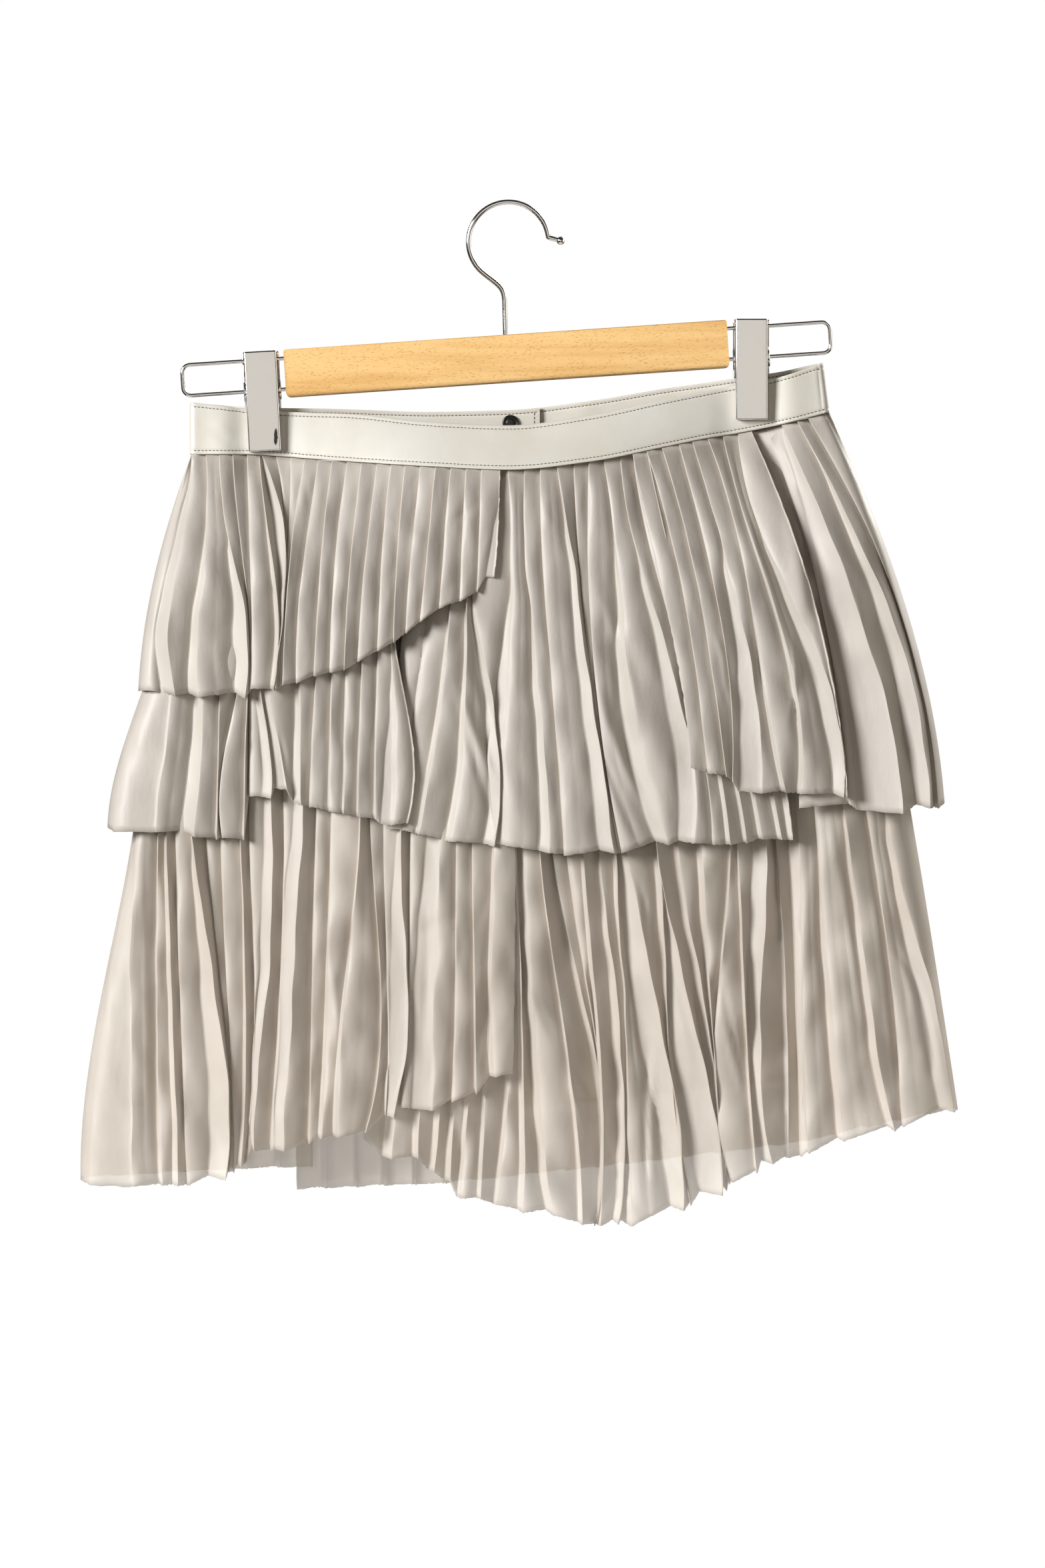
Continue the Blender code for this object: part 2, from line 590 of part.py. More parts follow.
def turned(name, profile, place, material, sides):
    """A turned solid from a profile of radius and height, its axis towards the front."""
    mesh = bmesh.new()
    rings = []
    for radius, height in profile:
        if radius == 0.0:
            rings.append([mesh.verts.new((place + Vector((0.0, -height, 0.0))) * MM)] * sides)
            continue
        ring = []
        for i in range(sides):
            angle = 2 * math.pi * i / sides
            spot = Vector((radius * math.cos(angle), -height, radius * math.sin(angle)))
            ring.append(mesh.verts.new((place + spot) * MM))
        rings.append(ring)
    for low, high in zip(rings, rings[1:]):
        for i in range(sides):
            j = (i + 1) % sides
            corners = []
            for vert in (low[i], low[j], high[j], high[i]):
                if vert not in corners:
                    corners.append(vert)
            if len(corners) > 2:
                mesh.faces.new(corners)
    bmesh.ops.recalc_face_normals(mesh, faces=mesh.faces[:])
    data = bpy.data.meshes.new(name)
    mesh.to_mesh(data)
    mesh.free()
    data.materials.append(material)
    thing = bpy.data.objects.new(name, data)
    bpy.context.scene.collection.objects.link(thing)
    return thing


def from_bar(x, z):
    """A place given along and across the tilted bar, as a world place."""
    turn = Matrix.Rotation(-HANGER_TILT, 3, "Y")
    return Vector(BAR_CENTRE) + turn @ Vector((x, 0.0, z))


def box_mesh(name, size, centre=(0.0, 0.0, 0.0)):
    """A box about a centre, in its own object, not yet placed."""
    mesh = bmesh.new()
    bmesh.ops.create_cube(mesh, size=1.0)
    bmesh.ops.scale(mesh, vec=Vector(size) * MM, verts=mesh.verts[:])
    bmesh.ops.translate(mesh, vec=Vector(centre) * MM, verts=mesh.verts[:])
    data = bpy.data.meshes.new(name)
    mesh.to_mesh(data)
    mesh.free()
    thing = bpy.data.objects.new(name, data)
    bpy.context.scene.collection.objects.link(thing)
    return thing


def rod_between(name, start, end, diameter):
    """A straight round rod, used for bores and clip ears."""
    way = end - start
    mesh = bmesh.new()
    bmesh.ops.create_cone(
        mesh,
        cap_ends=True,
        segments=20,
        radius1=diameter / 2 * MM,
        radius2=diameter / 2 * MM,
        depth=way.length * MM,
    )
    data = bpy.data.meshes.new(name)
    mesh.to_mesh(data)
    mesh.free()
    thing = bpy.data.objects.new(name, data)
    bpy.context.scene.collection.objects.link(thing)
    thing.location = (start + end) / 2 * MM
    thing.rotation_euler = way.to_track_quat("Z", "X").to_euler()
    return thing


def combine(thing, other, operation):
    """Joins or cuts with another object, which is then hidden as a cutter."""
    other.hide_render = True
    other.display_type = "WIRE"
    change = thing.modifiers.new(other.name, "BOOLEAN")
    change.operation = operation
    change.object = other


def wire(name, points, diameter, material, radii=None):
    """A bent round wire through the given points."""
    curve = bpy.data.curves.new(name, "CURVE")
    curve.dimensions = "3D"
    curve.bevel_depth = diameter / 2 * MM
    curve.bevel_resolution = 2
    curve.use_fill_caps = True
    line = curve.splines.new("POLY")
    line.points.add(len(points) - 1)
    for i, point in enumerate(points):
        line.points[i].co = (*(point * MM), 1.0)
        line.points[i].radius = radii[i] if radii else 1.0
    curve.materials.append(material)
    thing = bpy.data.objects.new(name, curve)
    bpy.context.scene.collection.objects.link(thing)
    return thing


def hook_route():
    """The hook's centre line, from the ball at its tip over the top and down into the bar."""
    reach = HOOK_INSIDE_RADIUS + HOOK_WIRE / 2
    centre = Vector((0.0, 0.0, -HOOK_INSIDE_RADIUS))

    def on_arc(degrees):
        angle = math.radians(degrees)
        return centre + reach * Vector((math.cos(angle), 0.0, math.sin(angle)))

    arc = [on_arc(7 + 7.5 * i) for i in range(31)]
    start = arc[-1]
    leave = (arc[-1] - arc[-2]).normalized()
    stem_top = Vector((HOOK_STEM_X - 0.6, 0.0, -54.5))
    bend = []
    for i in range(1, 9):
        t = i / 8
        pull_out = start + leave * 11.0
        pull_in = stem_top + Vector((-0.4, 0.0, 9.0))
        bend.append(
            start * (1 - t) ** 3
            + pull_out * 3 * t * (1 - t) ** 2
            + pull_in * 3 * t * t * (1 - t)
            + stem_top * t**3
        )
    foot = Vector((HOOK_STEM_X, 0.0, BAR_CENTRE[2] + BAR_HEIGHT / 2 - WIRE_INSIDE))
    ball = Vector((29.0, 0.0, -20.2))
    neck = Vector((23.6, 0.0, -18.8))
    tip = []
    for degrees in (8, 35, 62, 90, 118, 145):
        shift = math.cos(math.radians(degrees)) * HOOK_BALL / 2
        size = math.sin(math.radians(degrees)) * HOOK_BALL / HOOK_WIRE
        tip.append((ball + (ball - neck).normalized() * shift, size))
    route = tip + [(neck, 0.95)] + [(point, 1.0) for point in arc + bend + [foot]]
    return [point for point, _ in route], [size for _, size in route]


def loop_route(side):
    """A wire loop's centre line in the bar's own directions, out from one bore and back into the other."""
    inner = BAR_LENGTH / 2 - WIRE_INSIDE
    outer = BAR_LENGTH / 2 + LOOP_REACH - LOOP_WIRE / 2
    half = LOOP_HEIGHT / 2
    corner = LOOP_CORNER
    points = [(inner, half)]
    for turn in range(7):
        angle = math.radians(90 - 15 * turn)
        points.append((outer - corner + corner * math.cos(angle), half - corner + corner * math.sin(angle)))
    points += [(x, -z) for x, z in reversed(points)]
    return [from_bar(side * x, z) for x, z in points]


def hanger(beech, chrome):
    """The wooden bar with its hook and wire loops."""
    bar = box_mesh("hanger_bar", (BAR_LENGTH, BAR_THICKNESS, BAR_HEIGHT))
    bar.location = Vector(BAR_CENTRE) * MM
    bar.rotation_euler = (0.0, -HANGER_TILT, 0.0)
    rounding = bar.modifiers.new("rounded edges", "BEVEL")
    rounding.width = BAR_ROUNDING * MM
    rounding.segments = 2
    bar.data.materials.append(beech)
    bore = LOOP_WIRE + 2 * BORE_ROOM
    for side, label in ((-1, "left"), (1, "right")):
        for level in (-1, 1):
            start = from_bar(side * (BAR_LENGTH / 2 - BORE_DEPTH), level * LOOP_HEIGHT / 2)
            end = from_bar(side * (BAR_LENGTH / 2 + 3), level * LOOP_HEIGHT / 2)
            cutter = rod_between(f"bore_{label}_{'upper' if level > 0 else 'lower'}", start, end, bore)
            combine(bar, cutter, "DIFFERENCE")
        wire(f"hanger_loop_{label}", loop_route(side), LOOP_WIRE, chrome)
    top = BAR_CENTRE[2] + BAR_HEIGHT / 2
    stem_bore = rod_between(
        "bore_stem",
        Vector((HOOK_STEM_X, 0.0, top - BORE_DEPTH)),
        Vector((HOOK_STEM_X, 0.0, top + 3)),
        HOOK_WIRE + 2 * BORE_ROOM,
    )
    combine(bar, stem_bore, "DIFFERENCE")
    points, sizes = hook_route()
    wire("hanger_hook", points, HOOK_WIRE, chrome, sizes)


def jaw(clip, label, facing, extra, chrome):
    """One pressed jaw: a plate with its four edges folded back towards the band."""
    width = clip.width + 2 * extra
    middle = facing * (JAW_FRONT - JAW_DEPTH / 2)
    shell = box_mesh(f"clip_{clip.side}_{label}", (width, JAW_DEPTH, clip.height), (0, middle, 0))
    hollow = box_mesh(
        f"hollow_{clip.side}_{label}",
        (width - 2 * JAW_WALL, JAW_DEPTH, clip.height - 2 * JAW_WALL),
        (0, middle - facing * JAW_WALL, 0),
    )
    for thing in (shell, hollow):
        thing.location = Vector((clip.x, 0.0, clip.z)) * MM
        thing.rotation_euler = (0.0, clip.tilt, 0.0)
    combine(shell, hollow, "DIFFERENCE")
    shell.data.materials.append(chrome)
    return shell


def wire_at(x):
    """Where the lower wire of a loop passes at a given X."""
    low = from_bar(0.0, -LOOP_HEIGHT / 2)
    return Vector((x, 0.0, low.z + (x - low.x) * math.tan(HANGER_TILT)))


def clips(chrome):
    """Two clips. The back jaw is wider, and its round ears carry the lower wire outside the front jaw."""
    eye = LOOP_WIRE + 2 * BORE_ROOM
    for clip in CLIPS:
        jaw(clip, "front", FRONT, 0.0, chrome)
        back = jaw(clip, "back", BACK, BACK_JAW_EXTRA, chrome)
        for side, label in ((-1, "left"), (1, "right")):
            reach = clip.width / 2 + BACK_JAW_EXTRA
            inner = wire_at(clip.x + side * (reach - EAR_WALL))
            outer = wire_at(clip.x + side * reach)
            ear = rod_between(f"ear_{clip.side}_{label}", inner, outer, 2 * EAR_RADIUS)
            combine(back, ear, "UNION")
            way = (outer - inner).normalized()
            hole = rod_between(f"eye_{clip.side}_{label}", inner - 2 * way, outer + 2 * way, eye)
            combine(back, hole, "DIFFERENCE")


def material(name, colour, roughness, metallic=0.0):
    made = bpy.data.materials.new(name)
    made.use_nodes = True
    shader = made.node_tree.nodes["Principled BSDF"]
    shader.inputs["Base Color"].default_value = (*colour, 1.0)
    shader.inputs["Roughness"].default_value = roughness
    shader.inputs["Metallic"].default_value = metallic
    return made


def main():
    for thing in list(bpy.data.objects):
        bpy.data.objects.remove(thing)
    satin = material("satin", (0.56, 0.51, 0.45), 0.4)
    lining = material("lining", (0.62, 0.57, 0.50), 0.5)
    leather = material("leather", (0.68, 0.65, 0.58), 0.45)
    gunmetal = material("gunmetal", (0.05, 0.05, 0.05), 0.35, 1.0)
    beech = material("beech", (0.72, 0.45, 0.20), 0.45)
    chrome = material("chrome", (0.75, 0.75, 0.76), 0.12, 1.0)
    skirt(satin, leather, lining, gunmetal)
    hanger(beech, chrome)
    clips(chrome)


main()
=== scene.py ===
"""Looks of the pleated mini skirt and the clip hanger that it hangs from.

It is laid out as a Blender add-on and run as a script. Sizes in tables and named values are millimetres
unless a comment says otherwise. Every mesh is made in metres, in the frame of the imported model: +X right,
-Y front, +Z up, with the origin inside the top of the hook.
"""

import math
from collections import namedtuple

import bmesh
import bpy
import numpy as np
from bpy.props import FloatProperty, IntProperty, PointerProperty, StringProperty
from mathutils import Matrix, Vector


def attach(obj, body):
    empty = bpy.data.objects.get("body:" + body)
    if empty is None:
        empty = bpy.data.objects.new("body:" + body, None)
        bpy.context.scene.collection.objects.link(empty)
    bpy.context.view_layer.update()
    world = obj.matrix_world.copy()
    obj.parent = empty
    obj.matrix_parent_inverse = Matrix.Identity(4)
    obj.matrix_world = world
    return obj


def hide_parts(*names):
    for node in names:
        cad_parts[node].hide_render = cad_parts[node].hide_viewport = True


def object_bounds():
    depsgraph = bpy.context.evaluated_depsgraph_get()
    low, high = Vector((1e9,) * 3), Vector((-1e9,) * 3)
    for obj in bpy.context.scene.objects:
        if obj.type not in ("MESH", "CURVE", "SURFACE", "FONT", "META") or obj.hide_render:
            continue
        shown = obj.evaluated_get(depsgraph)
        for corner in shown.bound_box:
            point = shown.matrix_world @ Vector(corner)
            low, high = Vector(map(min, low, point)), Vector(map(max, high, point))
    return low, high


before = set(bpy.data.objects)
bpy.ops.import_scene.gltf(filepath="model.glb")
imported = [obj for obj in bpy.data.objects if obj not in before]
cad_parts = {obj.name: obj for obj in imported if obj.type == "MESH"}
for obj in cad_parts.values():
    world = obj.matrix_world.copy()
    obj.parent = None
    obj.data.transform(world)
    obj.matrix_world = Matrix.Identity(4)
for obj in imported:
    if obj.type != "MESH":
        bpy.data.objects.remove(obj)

bl_info = {
    "name": "Pleated skirt on a clip hanger",
    "version": (1, 0, 0),
    "blender": (4, 5, 0),
    "location": "3D View > Sidebar > Skirt",
    "description": "Makes the cloth, leather, wood and wire of a wrapped, tiered skirt on its hanger",
    "category": "Add Mesh",
}

MM = 0.001
BODY = "root"
LOADED_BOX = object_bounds()
FRONT = -1
BACK = 1

# ---------------------------------------------------------------- sizes shared with the solids

# The waist, station by station from the left: the height of the front band's top and lower edge and of the
# back band's top edge, then how far each edge stands from the middle plane. It closes round each side over
# WAIST_TURN.
Waist = namedtuple("Waist", "x top seam back_top out_top out_seam back_out_top back_out_seam")
WAIST = (
    Waist(-177.0, -110.0, -139.0, -110.0, 5.0, 6.0, 5.0, 6.0),
    Waist(-172.0, -110.5, -139.0, -110.5, 5.0, 6.0, 5.0, 6.0),
    Waist(-158.0, -112.0, -139.0, -111.5, 6.0, 8.0, 6.0, 8.0),
    Waist(-145.0, -113.5, -139.0, -112.5, 3.4, 4.6, 3.4, 4.6),
    Waist(-127.0, -115.0, -140.0, -113.0, 3.4, 4.6, 3.4, 4.6),
    Waist(-110.0, -115.7, -141.5, -113.2, 5.0, 8.5, 4.8, 6.5),
    Waist(-88.0, -116.5, -143.2, -113.7, 8.0, 14.0, 7.0, 8.5),
    Waist(-45.0, -121.0, -146.0, -115.0, 12.0, 24.0, 9.0, 10.0),
    Waist(0.0, -123.0, -148.0, -114.0, 13.0, 27.0, 9.5, 10.5),
    Waist(45.0, -117.5, -143.5, -109.0, 12.0, 24.0, 9.0, 10.0),
    Waist(88.0, -108.3, -134.8, -102.0, 8.0, 15.0, 7.0, 8.5),
    Waist(110.0, -103.8, -130.2, -99.0, 5.0, 9.0, 4.8, 6.5),
    Waist(125.5, -100.8, -127.6, -96.6, 3.4, 4.6, 3.4, 4.6),
    Waist(144.0, -97.5, -124.0, -94.0, 3.4, 4.6, 3.4, 4.6),
    Waist(158.0, -94.0, -120.7, -91.5, 6.0, 8.0, 6.0, 8.0),
    Waist(171.0, -90.0, -117.0, -88.8, 5.0, 7.0, 5.0, 7.0),
    Waist(176.5, -88.5, -115.5, -88.0, 5.0, 7.0, 5.0, 7.0),
)
WAIST_TURN = 5.0
BACK_BAND_HEIGHT = 28.5
BACK_LAP = (-13.0, 17.4)
SEAM_GAP = 0.3

# A soft ridge (or, below zero, a trough) in the cloth: the heights of its two ends, its X at four levels
# between them, its half width and how far it stands out.
Drape = namedtuple("Drape", "top foot x1 x2 x3 x4 width depth")

# Each row is one pleat's fold edge: its X at the seam, a third and two thirds of the way down and at the hem,
# the height of the hem there, how wide the step beside it is at the last three of those levels, how far the
# edge stands out from the flounce and how far the bottom of the step lies behind it.
UPPER_LEFT = (
    (-176, -190.5, -200.5, -205.5, -270, 0, 0, 0, 0, 0),
    (-176, -181, -187, -184.5, -273, 3, 5.9, 7.4, 3, 4),
    (-168, -167.5, -171, -171.5, -274, 1.5, 3, 5.5, 4, 5),
    (-160.5, -155, -146, -145.5, -274.5, 0.7, 7, 5.5, 4, 7),
    (-153, -149, -143.5, -143, -271, 0.7, 0.7, 0.7, 1, 3),
    (-145, -143.5, -142, -143.5, -269.5, 0.7, 0.7, 1.5, 2, 4),
    (-138.5, -133, -127.5, -130, -270, 1.5, 2.2, 1.9, 3, 4),
    (-137, -124.5, -124.5, -128.5, -269.5, 5.2, 2.2, 1.1, 4, 3),
    (-129, -124, -125.5, -127.5, -269, 0.8, 0.8, 0.8, 0.5, 1),
    (-121, -122, -124.5, -126.5, -268.5, 0.8, 0.8, 0.8, 0.5, 1),
    (-113, -119.5, -123, -125, -267.5, 0.8, 0.8, 0.8, 2.5, 2),
    (-105.5, -111.5, -116, -117.5, -266, 0.9, 0.9, 1, 2, 2),
    (-98, -102.5, -105.5, -107.5, -262.5, 0.9, 0.9, 1, 2, 2.5),
    (-89.5, -94.5, -97.5, -99, -260.5, 0.9, 0.9, 1, 2, 3),
    (-81.5, -86, -89, -91, -259, 0.9, 0.9, 1, 2.5, 2),
    (-73, -77.5, -81, -83.5, -254.5, 0.9, 0.9, 1, 2, 1.5),
    (-65, -69, -71, -72.5, -248.5, 0.9, 0.9, 1, 2, 2),
    (-57.5, -60.5, -62.5, -63.5, -244, 0.9, 0.9, 1, 2, 3),
    (-49, -52, -55, -57, -238.5, 0.9, 0.9, 1, 2, 3),
    (-40.5, -43.5, -46, -49, -232.5, 0.9, 0.9, 1, 2.5, 2),
    (-32, -34.5, -36.5, -38.5, -225, 0.9, 0.9, 1, 2, 2),
    (-23.5, -25, -26, -27, -221, 0.9, 0.9, 1, 2, 2.5),
    (-15, -16, -16.5, -17.5, -216, 0.7, 0.7, 1.1, 2, 2),
    (-5, -5.5, -6.3, -8.1, -207.5, 1.1, 3, 4.4, 0, 0),
)
UPPER_RIGHT = (
    (69, 81, 93.5, 100.5, -313, 0, 0, 0, 2, 0),
    (76.5, 92.5, 103, 110, -316, 0.9, 0.9, 1, 2.5, 3),
    (85, 101, 112, 120, -317.5, 0.9, 0.9, 1, 2.5, 3),
    (94.5, 110, 121, 123.5, -320, 0.9, 0.9, 1, 3, 3),
    (102, 120, 134.5, 140.5, -327, 1.5, 8.1, 12.5, 3, 1),
    (110.5, 129, 140, 153, -326.5, 1.1, 1.5, 2.2, 3, 4),
    (119, 137.5, 157, 161, -327.5, 1.5, 1.9, 2.2, 3, 4),
    (127.5, 145, 175, 184.5, -329, 2.2, 8.1, 5.2, 4, 3),
    (134.5, 160.5, 178, 187, -329, 1.1, 1.5, 1.5, 3.5, -2.5),
)
UPPER_SIDE = (
    (131, 150, 159, 160.5, -335, 0, 0, 0, -2, 0),
    (143, 166, 180.5, 188.5, -333, 1.1, 1.5, 1.5, -1.5, 4),
    (151.5, 181.5, 205.5, 218, -338.5, 12, 21.5, 24.5, 6, 2.5),
    (160, 196, 222.5, 232.5, -335.5, 4.4, 9.6, 7.4, 3.5, 4.5),
    (166, 203, 227, 237.5, -335, 1.1, 1.5, 2.2, 1.5, 3),
    (178.5, 208.5, 230.5, 242, -332, 0, 0, 0, 0, 0),
)
MIDDLE_MAIN = (
    (-56, -60.5, -64.5, -68, -346, 0, 0, 0, -3, 0),
    (-42, -47.5, -54, -59, -347.5, 1, 1.3, 1.5, -1, 3),
    (-30.5, -33.5, -40, -49.5, -349.5, 1.5, 1.9, 2.2, 3, 2),
    (-21.5, -23.5, -24.5, -33, -353.5, 1.5, 2.2, 3, 3, 2),
    (-13.5, -19, -7, -8.1, -356.5, 1.5, 5.2, 5.9, 3, 3),
    (-0.4, 1.5, -1.5, -1.5, -356, 1.5, 7.4, 5.2, 3, 1),
    (8.9, 11, 18.5, 21.5, -360, 1.1, 3.3, 5.2, 3, 2),
    (17.5, 20, 26, 30.5, -361.5, 0.7, 1.1, 1.1, 3, 7),
    (26.5, 38, 48, 59, -360, 3.3, 6.3, 8.1, 4, 1),
    (36, 40.5, 49, 61, -360, 0.8, 0.8, 0.8, 0.5, 1),
    (44.5, 44.5, 50.5, 62.5, -360, 0.8, 0.8, 0.8, 2, 4),
    (52.5, 61.5, 70, 88.5, -355.5, 2.6, 7.4, 7.4, 3, 4),
    (62, 76, 97, 102, -354.5, 2.2, 8.1, 8.9, 4, 0),
    (69, 83.5, 103, 112.5, -355.5, 0.9, 1.1, 1.2, 2, 4),
    (77, 93, 110.5, 122.5, -355.5, 1.1, 1.7, 2, 3, 2),
    (85, 101.5, 119, 131.5, -354.5, 1.1, 1.7, 2, 3, 2),
    (93, 110.5, 127.5, 140, -352.5, 1.1, 1.7, 2, 3, 2),
    (102, 120, 137.5, 151, -352.5, 1.1, 1.7, 2, 3, 2),
    (111, 129, 146.5, 157, -353, 1.4, 2.4, 3, 3, 0),
)
MIDDLE_LEFT = (
    (-190, -197, -213, -222.5, -345.5, 0, 0, 0, 0, 0),
    (-183.5, -185, -190, -195, -348.5, 9.6, 19, 23, 3.5, -2),
    (-166, -167, -170, -174.5, -351, 3, 5.9, 6.3, 4.5, 8),
    (-158.5, -159.5, -160.5, -161.5, -352.5, 1.1, 1.1, 1.5, 2, 5),
    (-146, -146.5, -156.5, -158.5, -351.5, 0.9, 0.9, 1, 3, 4),
    (-140, -143.5, -145.5, -146.5, -353, 1.1, 1.1, 1.5, 2, 4),
    (-137.5, -142.5, -143.5, -143.5, -328.5, 0.9, 0.9, 1, -1, 5),
    (-136, -139, -134.5, -131.5, -330, 1.9, 3.9, 5, 4, 0),
    (-134, -136.5, -130, -123, -325, 1.1, 3.7, 6.7, 4, -1),
    (-113, -115.5, -115.5, -114.5, -333, 1.6, 3.2, 4, 2, 3),
    (-103, -105.5, -108, -110, -334.5, 1, 1.3, 1.5, 2.5, 3),
    (-95, -97.5, -98.5, -99, -337, 1, 1.3, 1.5, 2.5, 3),
    (-87.5, -90, -90.5, -91.5, -338.5, 1, 1.3, 1.5, 2.5, 3),
    (-78.5, -81, -82.5, -83.5, -340, 1, 1.3, 1.5, 3, 3),
    (-71, -72.5, -73.5, -74, -341.5, 1, 1.3, 1.5, 2.5, 3),
    (-66.5, -65, -63.5, -64.5, -344.5, 0.7, 3.7, 5.9, 3, -1),
    (-63.5, -62, -53.5, -56, -343.5, 1, 1.3, 1.5, 2, -1),
)
LOWER_LEFT = (
    (-203.5, -214, -230, -237.5, -541, 0, 0, 0, 0, 0),
    (-202, -208, -209, -207.5, -544.5, 4.4, 16.5, 23.5, 7, -4.2),
    (-193, -194.5, -194.5, -191.5, -544, 1.1, 1.5, 1.9, 2.8, 7),
    (-189.5, -188.5, -185.5, -183, -544, 1.9, 2.2, 3, 4.2, 0),
    (-185.5, -183.5, -181, -177.5, -544, 1.1, 1.1, 1.5, 2.8, 4.2),
    (-177, -171.5, -158.5, -156.5, -541, 3, 9.6, 9.6, 7, 1.4),
    (-167.5, -165, -156.5, -155, -536.5, 0.9, 0.9, 1, 0, 5.6),
    (-159, -158.5, -154.5, -152, -536.5, 0.9, 0.9, 1, 1.4, 4.2),
    (-151, -147.5, -145.5, -148, -533, 1.1, 1.7, 2, 2.8, 4.2),
    (-143.5, -142.5, -140.5, -146, -532, 0.7, 0.7, 0.7, 1.4, 2.8),
    (-136, -130.5, -135.5, -141.5, -525, 5.2, 4.4, 1.5, 5.6, -1.4),
    (-126, -124.5, -127.5, -131.5, -524.5, 1.1, 1.1, 1.5, 1.4, 5.6),
    (-113, -116, -120.5, -124.5, -525, 6.7, 5.9, 4.8, 7, -2.8),
    (-105, -107.5, -109, -110.5, -521, 1.1, 1.1, 1.5, 1.4, 8.4),
    (-97, -99, -100.5, -103.5, -518, 1.1, 1.7, 2, 4.2, 4.2),
    (-83, -84, -91, -95, -517.5, 1.1, 1.7, 2, 5.6, 5.6),
    (-74.5, -75, -70.5, -79.5, -515, 1.1, 1.1, 1.1, 2.8, 8.4),
    (-67.5, -69, -67, -68, -505, 0.7, 0.7, 1.5, 1.4, 2.8),
    (-58, -59.5, -56, -63.5, -506.5, 3.7, 9.6, 4.4, 5.6, -1.4),
    (-52.5, -54.5, -55, -59.5, -500.5, 1.1, 1.1, 1.5, 1.4, 7),
    (-37, -39, -41, -42.5, -502.5, 8.1, 11, 11, 5.6, -1.4),
    (-28, -29, -29.5, -31.5, -497.5, 0.9, 0.9, 1, 4.2, 7),
    (-19, -20, -19, -18, -493.5, 1, 1.3, 1.5, 4.2, 7),
    (-7.4, -8.1, -9.6, -8.1, -484, 1.5, 1.9, 2.2, 4.2, 4.2),
    (5, 4, 3.5, 2.5, -481.5, 0, 0, 0, 1.4, -4.2),
)
LOWER_MAIN = (
    (-46, -57, -70, -80.5, -518, 0, 0, 0, 0, 0),
    (-38.5, -46, -57, -64.5, -529.5, 1.9, 3.9, 5, 3.4, 3.4),
    (-31, -38.5, -46, -50.5, -529, 1.4, 2.4, 3, 3.4, 3.4),
    (-23.5, -27.5, -34, -41.5, -536.5, 1.4, 2.4, 3, 3.4, 3.4),
    (-18, -22, -27.5, -32.5, -542, 1.4, 2.4, 3, 3.4, 3.4),
    (-13.5, -15.5, -20.5, -26.5, -551, 1.1, 1.7, 2, 3.4, 3.4),
    (-7, -9, -12, -15.5, -551.5, 1.1, 1.7, 2, 3.4, 3.4),
    (-0.5, 0.5, 0.5, -7, -554.5, 1.1, 1.7, 2, 3.4, 3.4),
    (2.5, 5, 8, 8, -559, 1.4, 2.4, 3, 5.1, 5.1),
    (5.9, 10, 15.5, 24.5, -560.5, 4.1, 4.4, 4.4, 6.8, 5.1),
    (15.5, 20.5, 33.5, 40.5, -565.5, 1.1, 1.5, 2.2, 8.5, 3.4),
    (23.5, 29.5, 49, 47.5, -566.5, 1.5, 2.6, 1.1, 0.8, 6.8),
    (30.5, 36, 50, 49, -565.5, 1.1, 1.5, 1.1, 1.7, 5.1),
    (39, 43.5, 51, 50.5, -566.5, 1.9, 1.9, 1.9, 6.8, 5.1),
    (47.5, 53.5, 63, 60.5, -565.5, 2.2, 4.8, 3, 5.1, 3.4),
    (55, 61, 65.5, 67.5, -566.5, 1.9, 1.5, 5.9, 6.8, 3.4),
    (61.5, 70.5, 88, 97, -558, 9.2, 13.5, 7.4, 8.5, 0),
    (77, 85, 89, 100.5, -555, 3, 1.1, 1.1, 5.1, 6.8),
    (81.5, 86.5, 106, 118.5, -549.5, 0.7, 15.5, 12.5, 8.5, -1.7),
    (91, 97.5, 112, 120, -547, 3, 4.4, 1.9, 5.1, 5.1),
    (100.5, 108.5, 113, 122, -543.5, 3, 1.5, 1.1, 5.1, 6.8),
    (117, 121.5, 114, 123.5, -542.5, 1.5, 1.1, 1.1, 6.8, 7.6),
    (121.5, 128, 131.5, 137.5, -537.5, 1.5, 1.5, 1.5, 6.8, 6.8),
    (132.5, 142.5, 139, 146, -532, 8.1, 6.3, 5.9, 6.8, 0),
    (143, 150, 154, 154.5, -529, 1.5, 1.9, 1.9, -1.7, 8.5),
    (149.5, 157, 160, 162, -528, 1.5, 1.5, 1.5, -1.7, 7.6),
    (155.5, 161.5, 163, 166, -526.5, 1.1, 1.5, 1.5, 5.1, 8.5),
    (166.5, 172.5, 178.5, 185.5, -519.5, 1.5, 3, 3, 5.1, 5.1),
    (178, 191, 200, 213.5, -514, 2.2, 3.7, 3.7, 8.5, 5.1),
    (191.5, 204, 213, 218, -511.5, 1.1, 1.1, 1.5, 3.4, 1.7),
    (205, 215.5, 234, 246.5, -503.5, 3.3, 8.9, 8.1, 6.8, 0),
    (217.5, 229, 239.5, 249.5, -502, 0, 0, 0, 0, 0),
)
UPPER_LEFT_DRAPES = (
    Drape(-151, -168, -115.5, -113, -111.5, -109.5, 1.9, -0.8),
    Drape(-200.5, -256, -185.5, -187, -189.5, -188, 2.2, 1),
    Drape(-241.5, -271, -160.5, -160, -158.5, -157, 2.6, 0.8),
    Drape(-145, -178.5, -125.5, -123.5, -121.5, -120, 2.2, -0.7),
)
UPPER_RIGHT_DRAPES = (
    Drape(-241.5, -289.5, 157.5, 158.5, 157.5, 153, 1.5, 1.4),
    Drape(-130.5, -230.5, 151, 154.5, 160, 163, 4.8, 2.2),
    Drape(-167.5, -230.5, 160, 163.5, 166.5, 169.5, 2.2, -1.3),
    Drape(-241.5, -278.5, 115, 119, 120.5, 124.5, 1.9, 1.2),
)
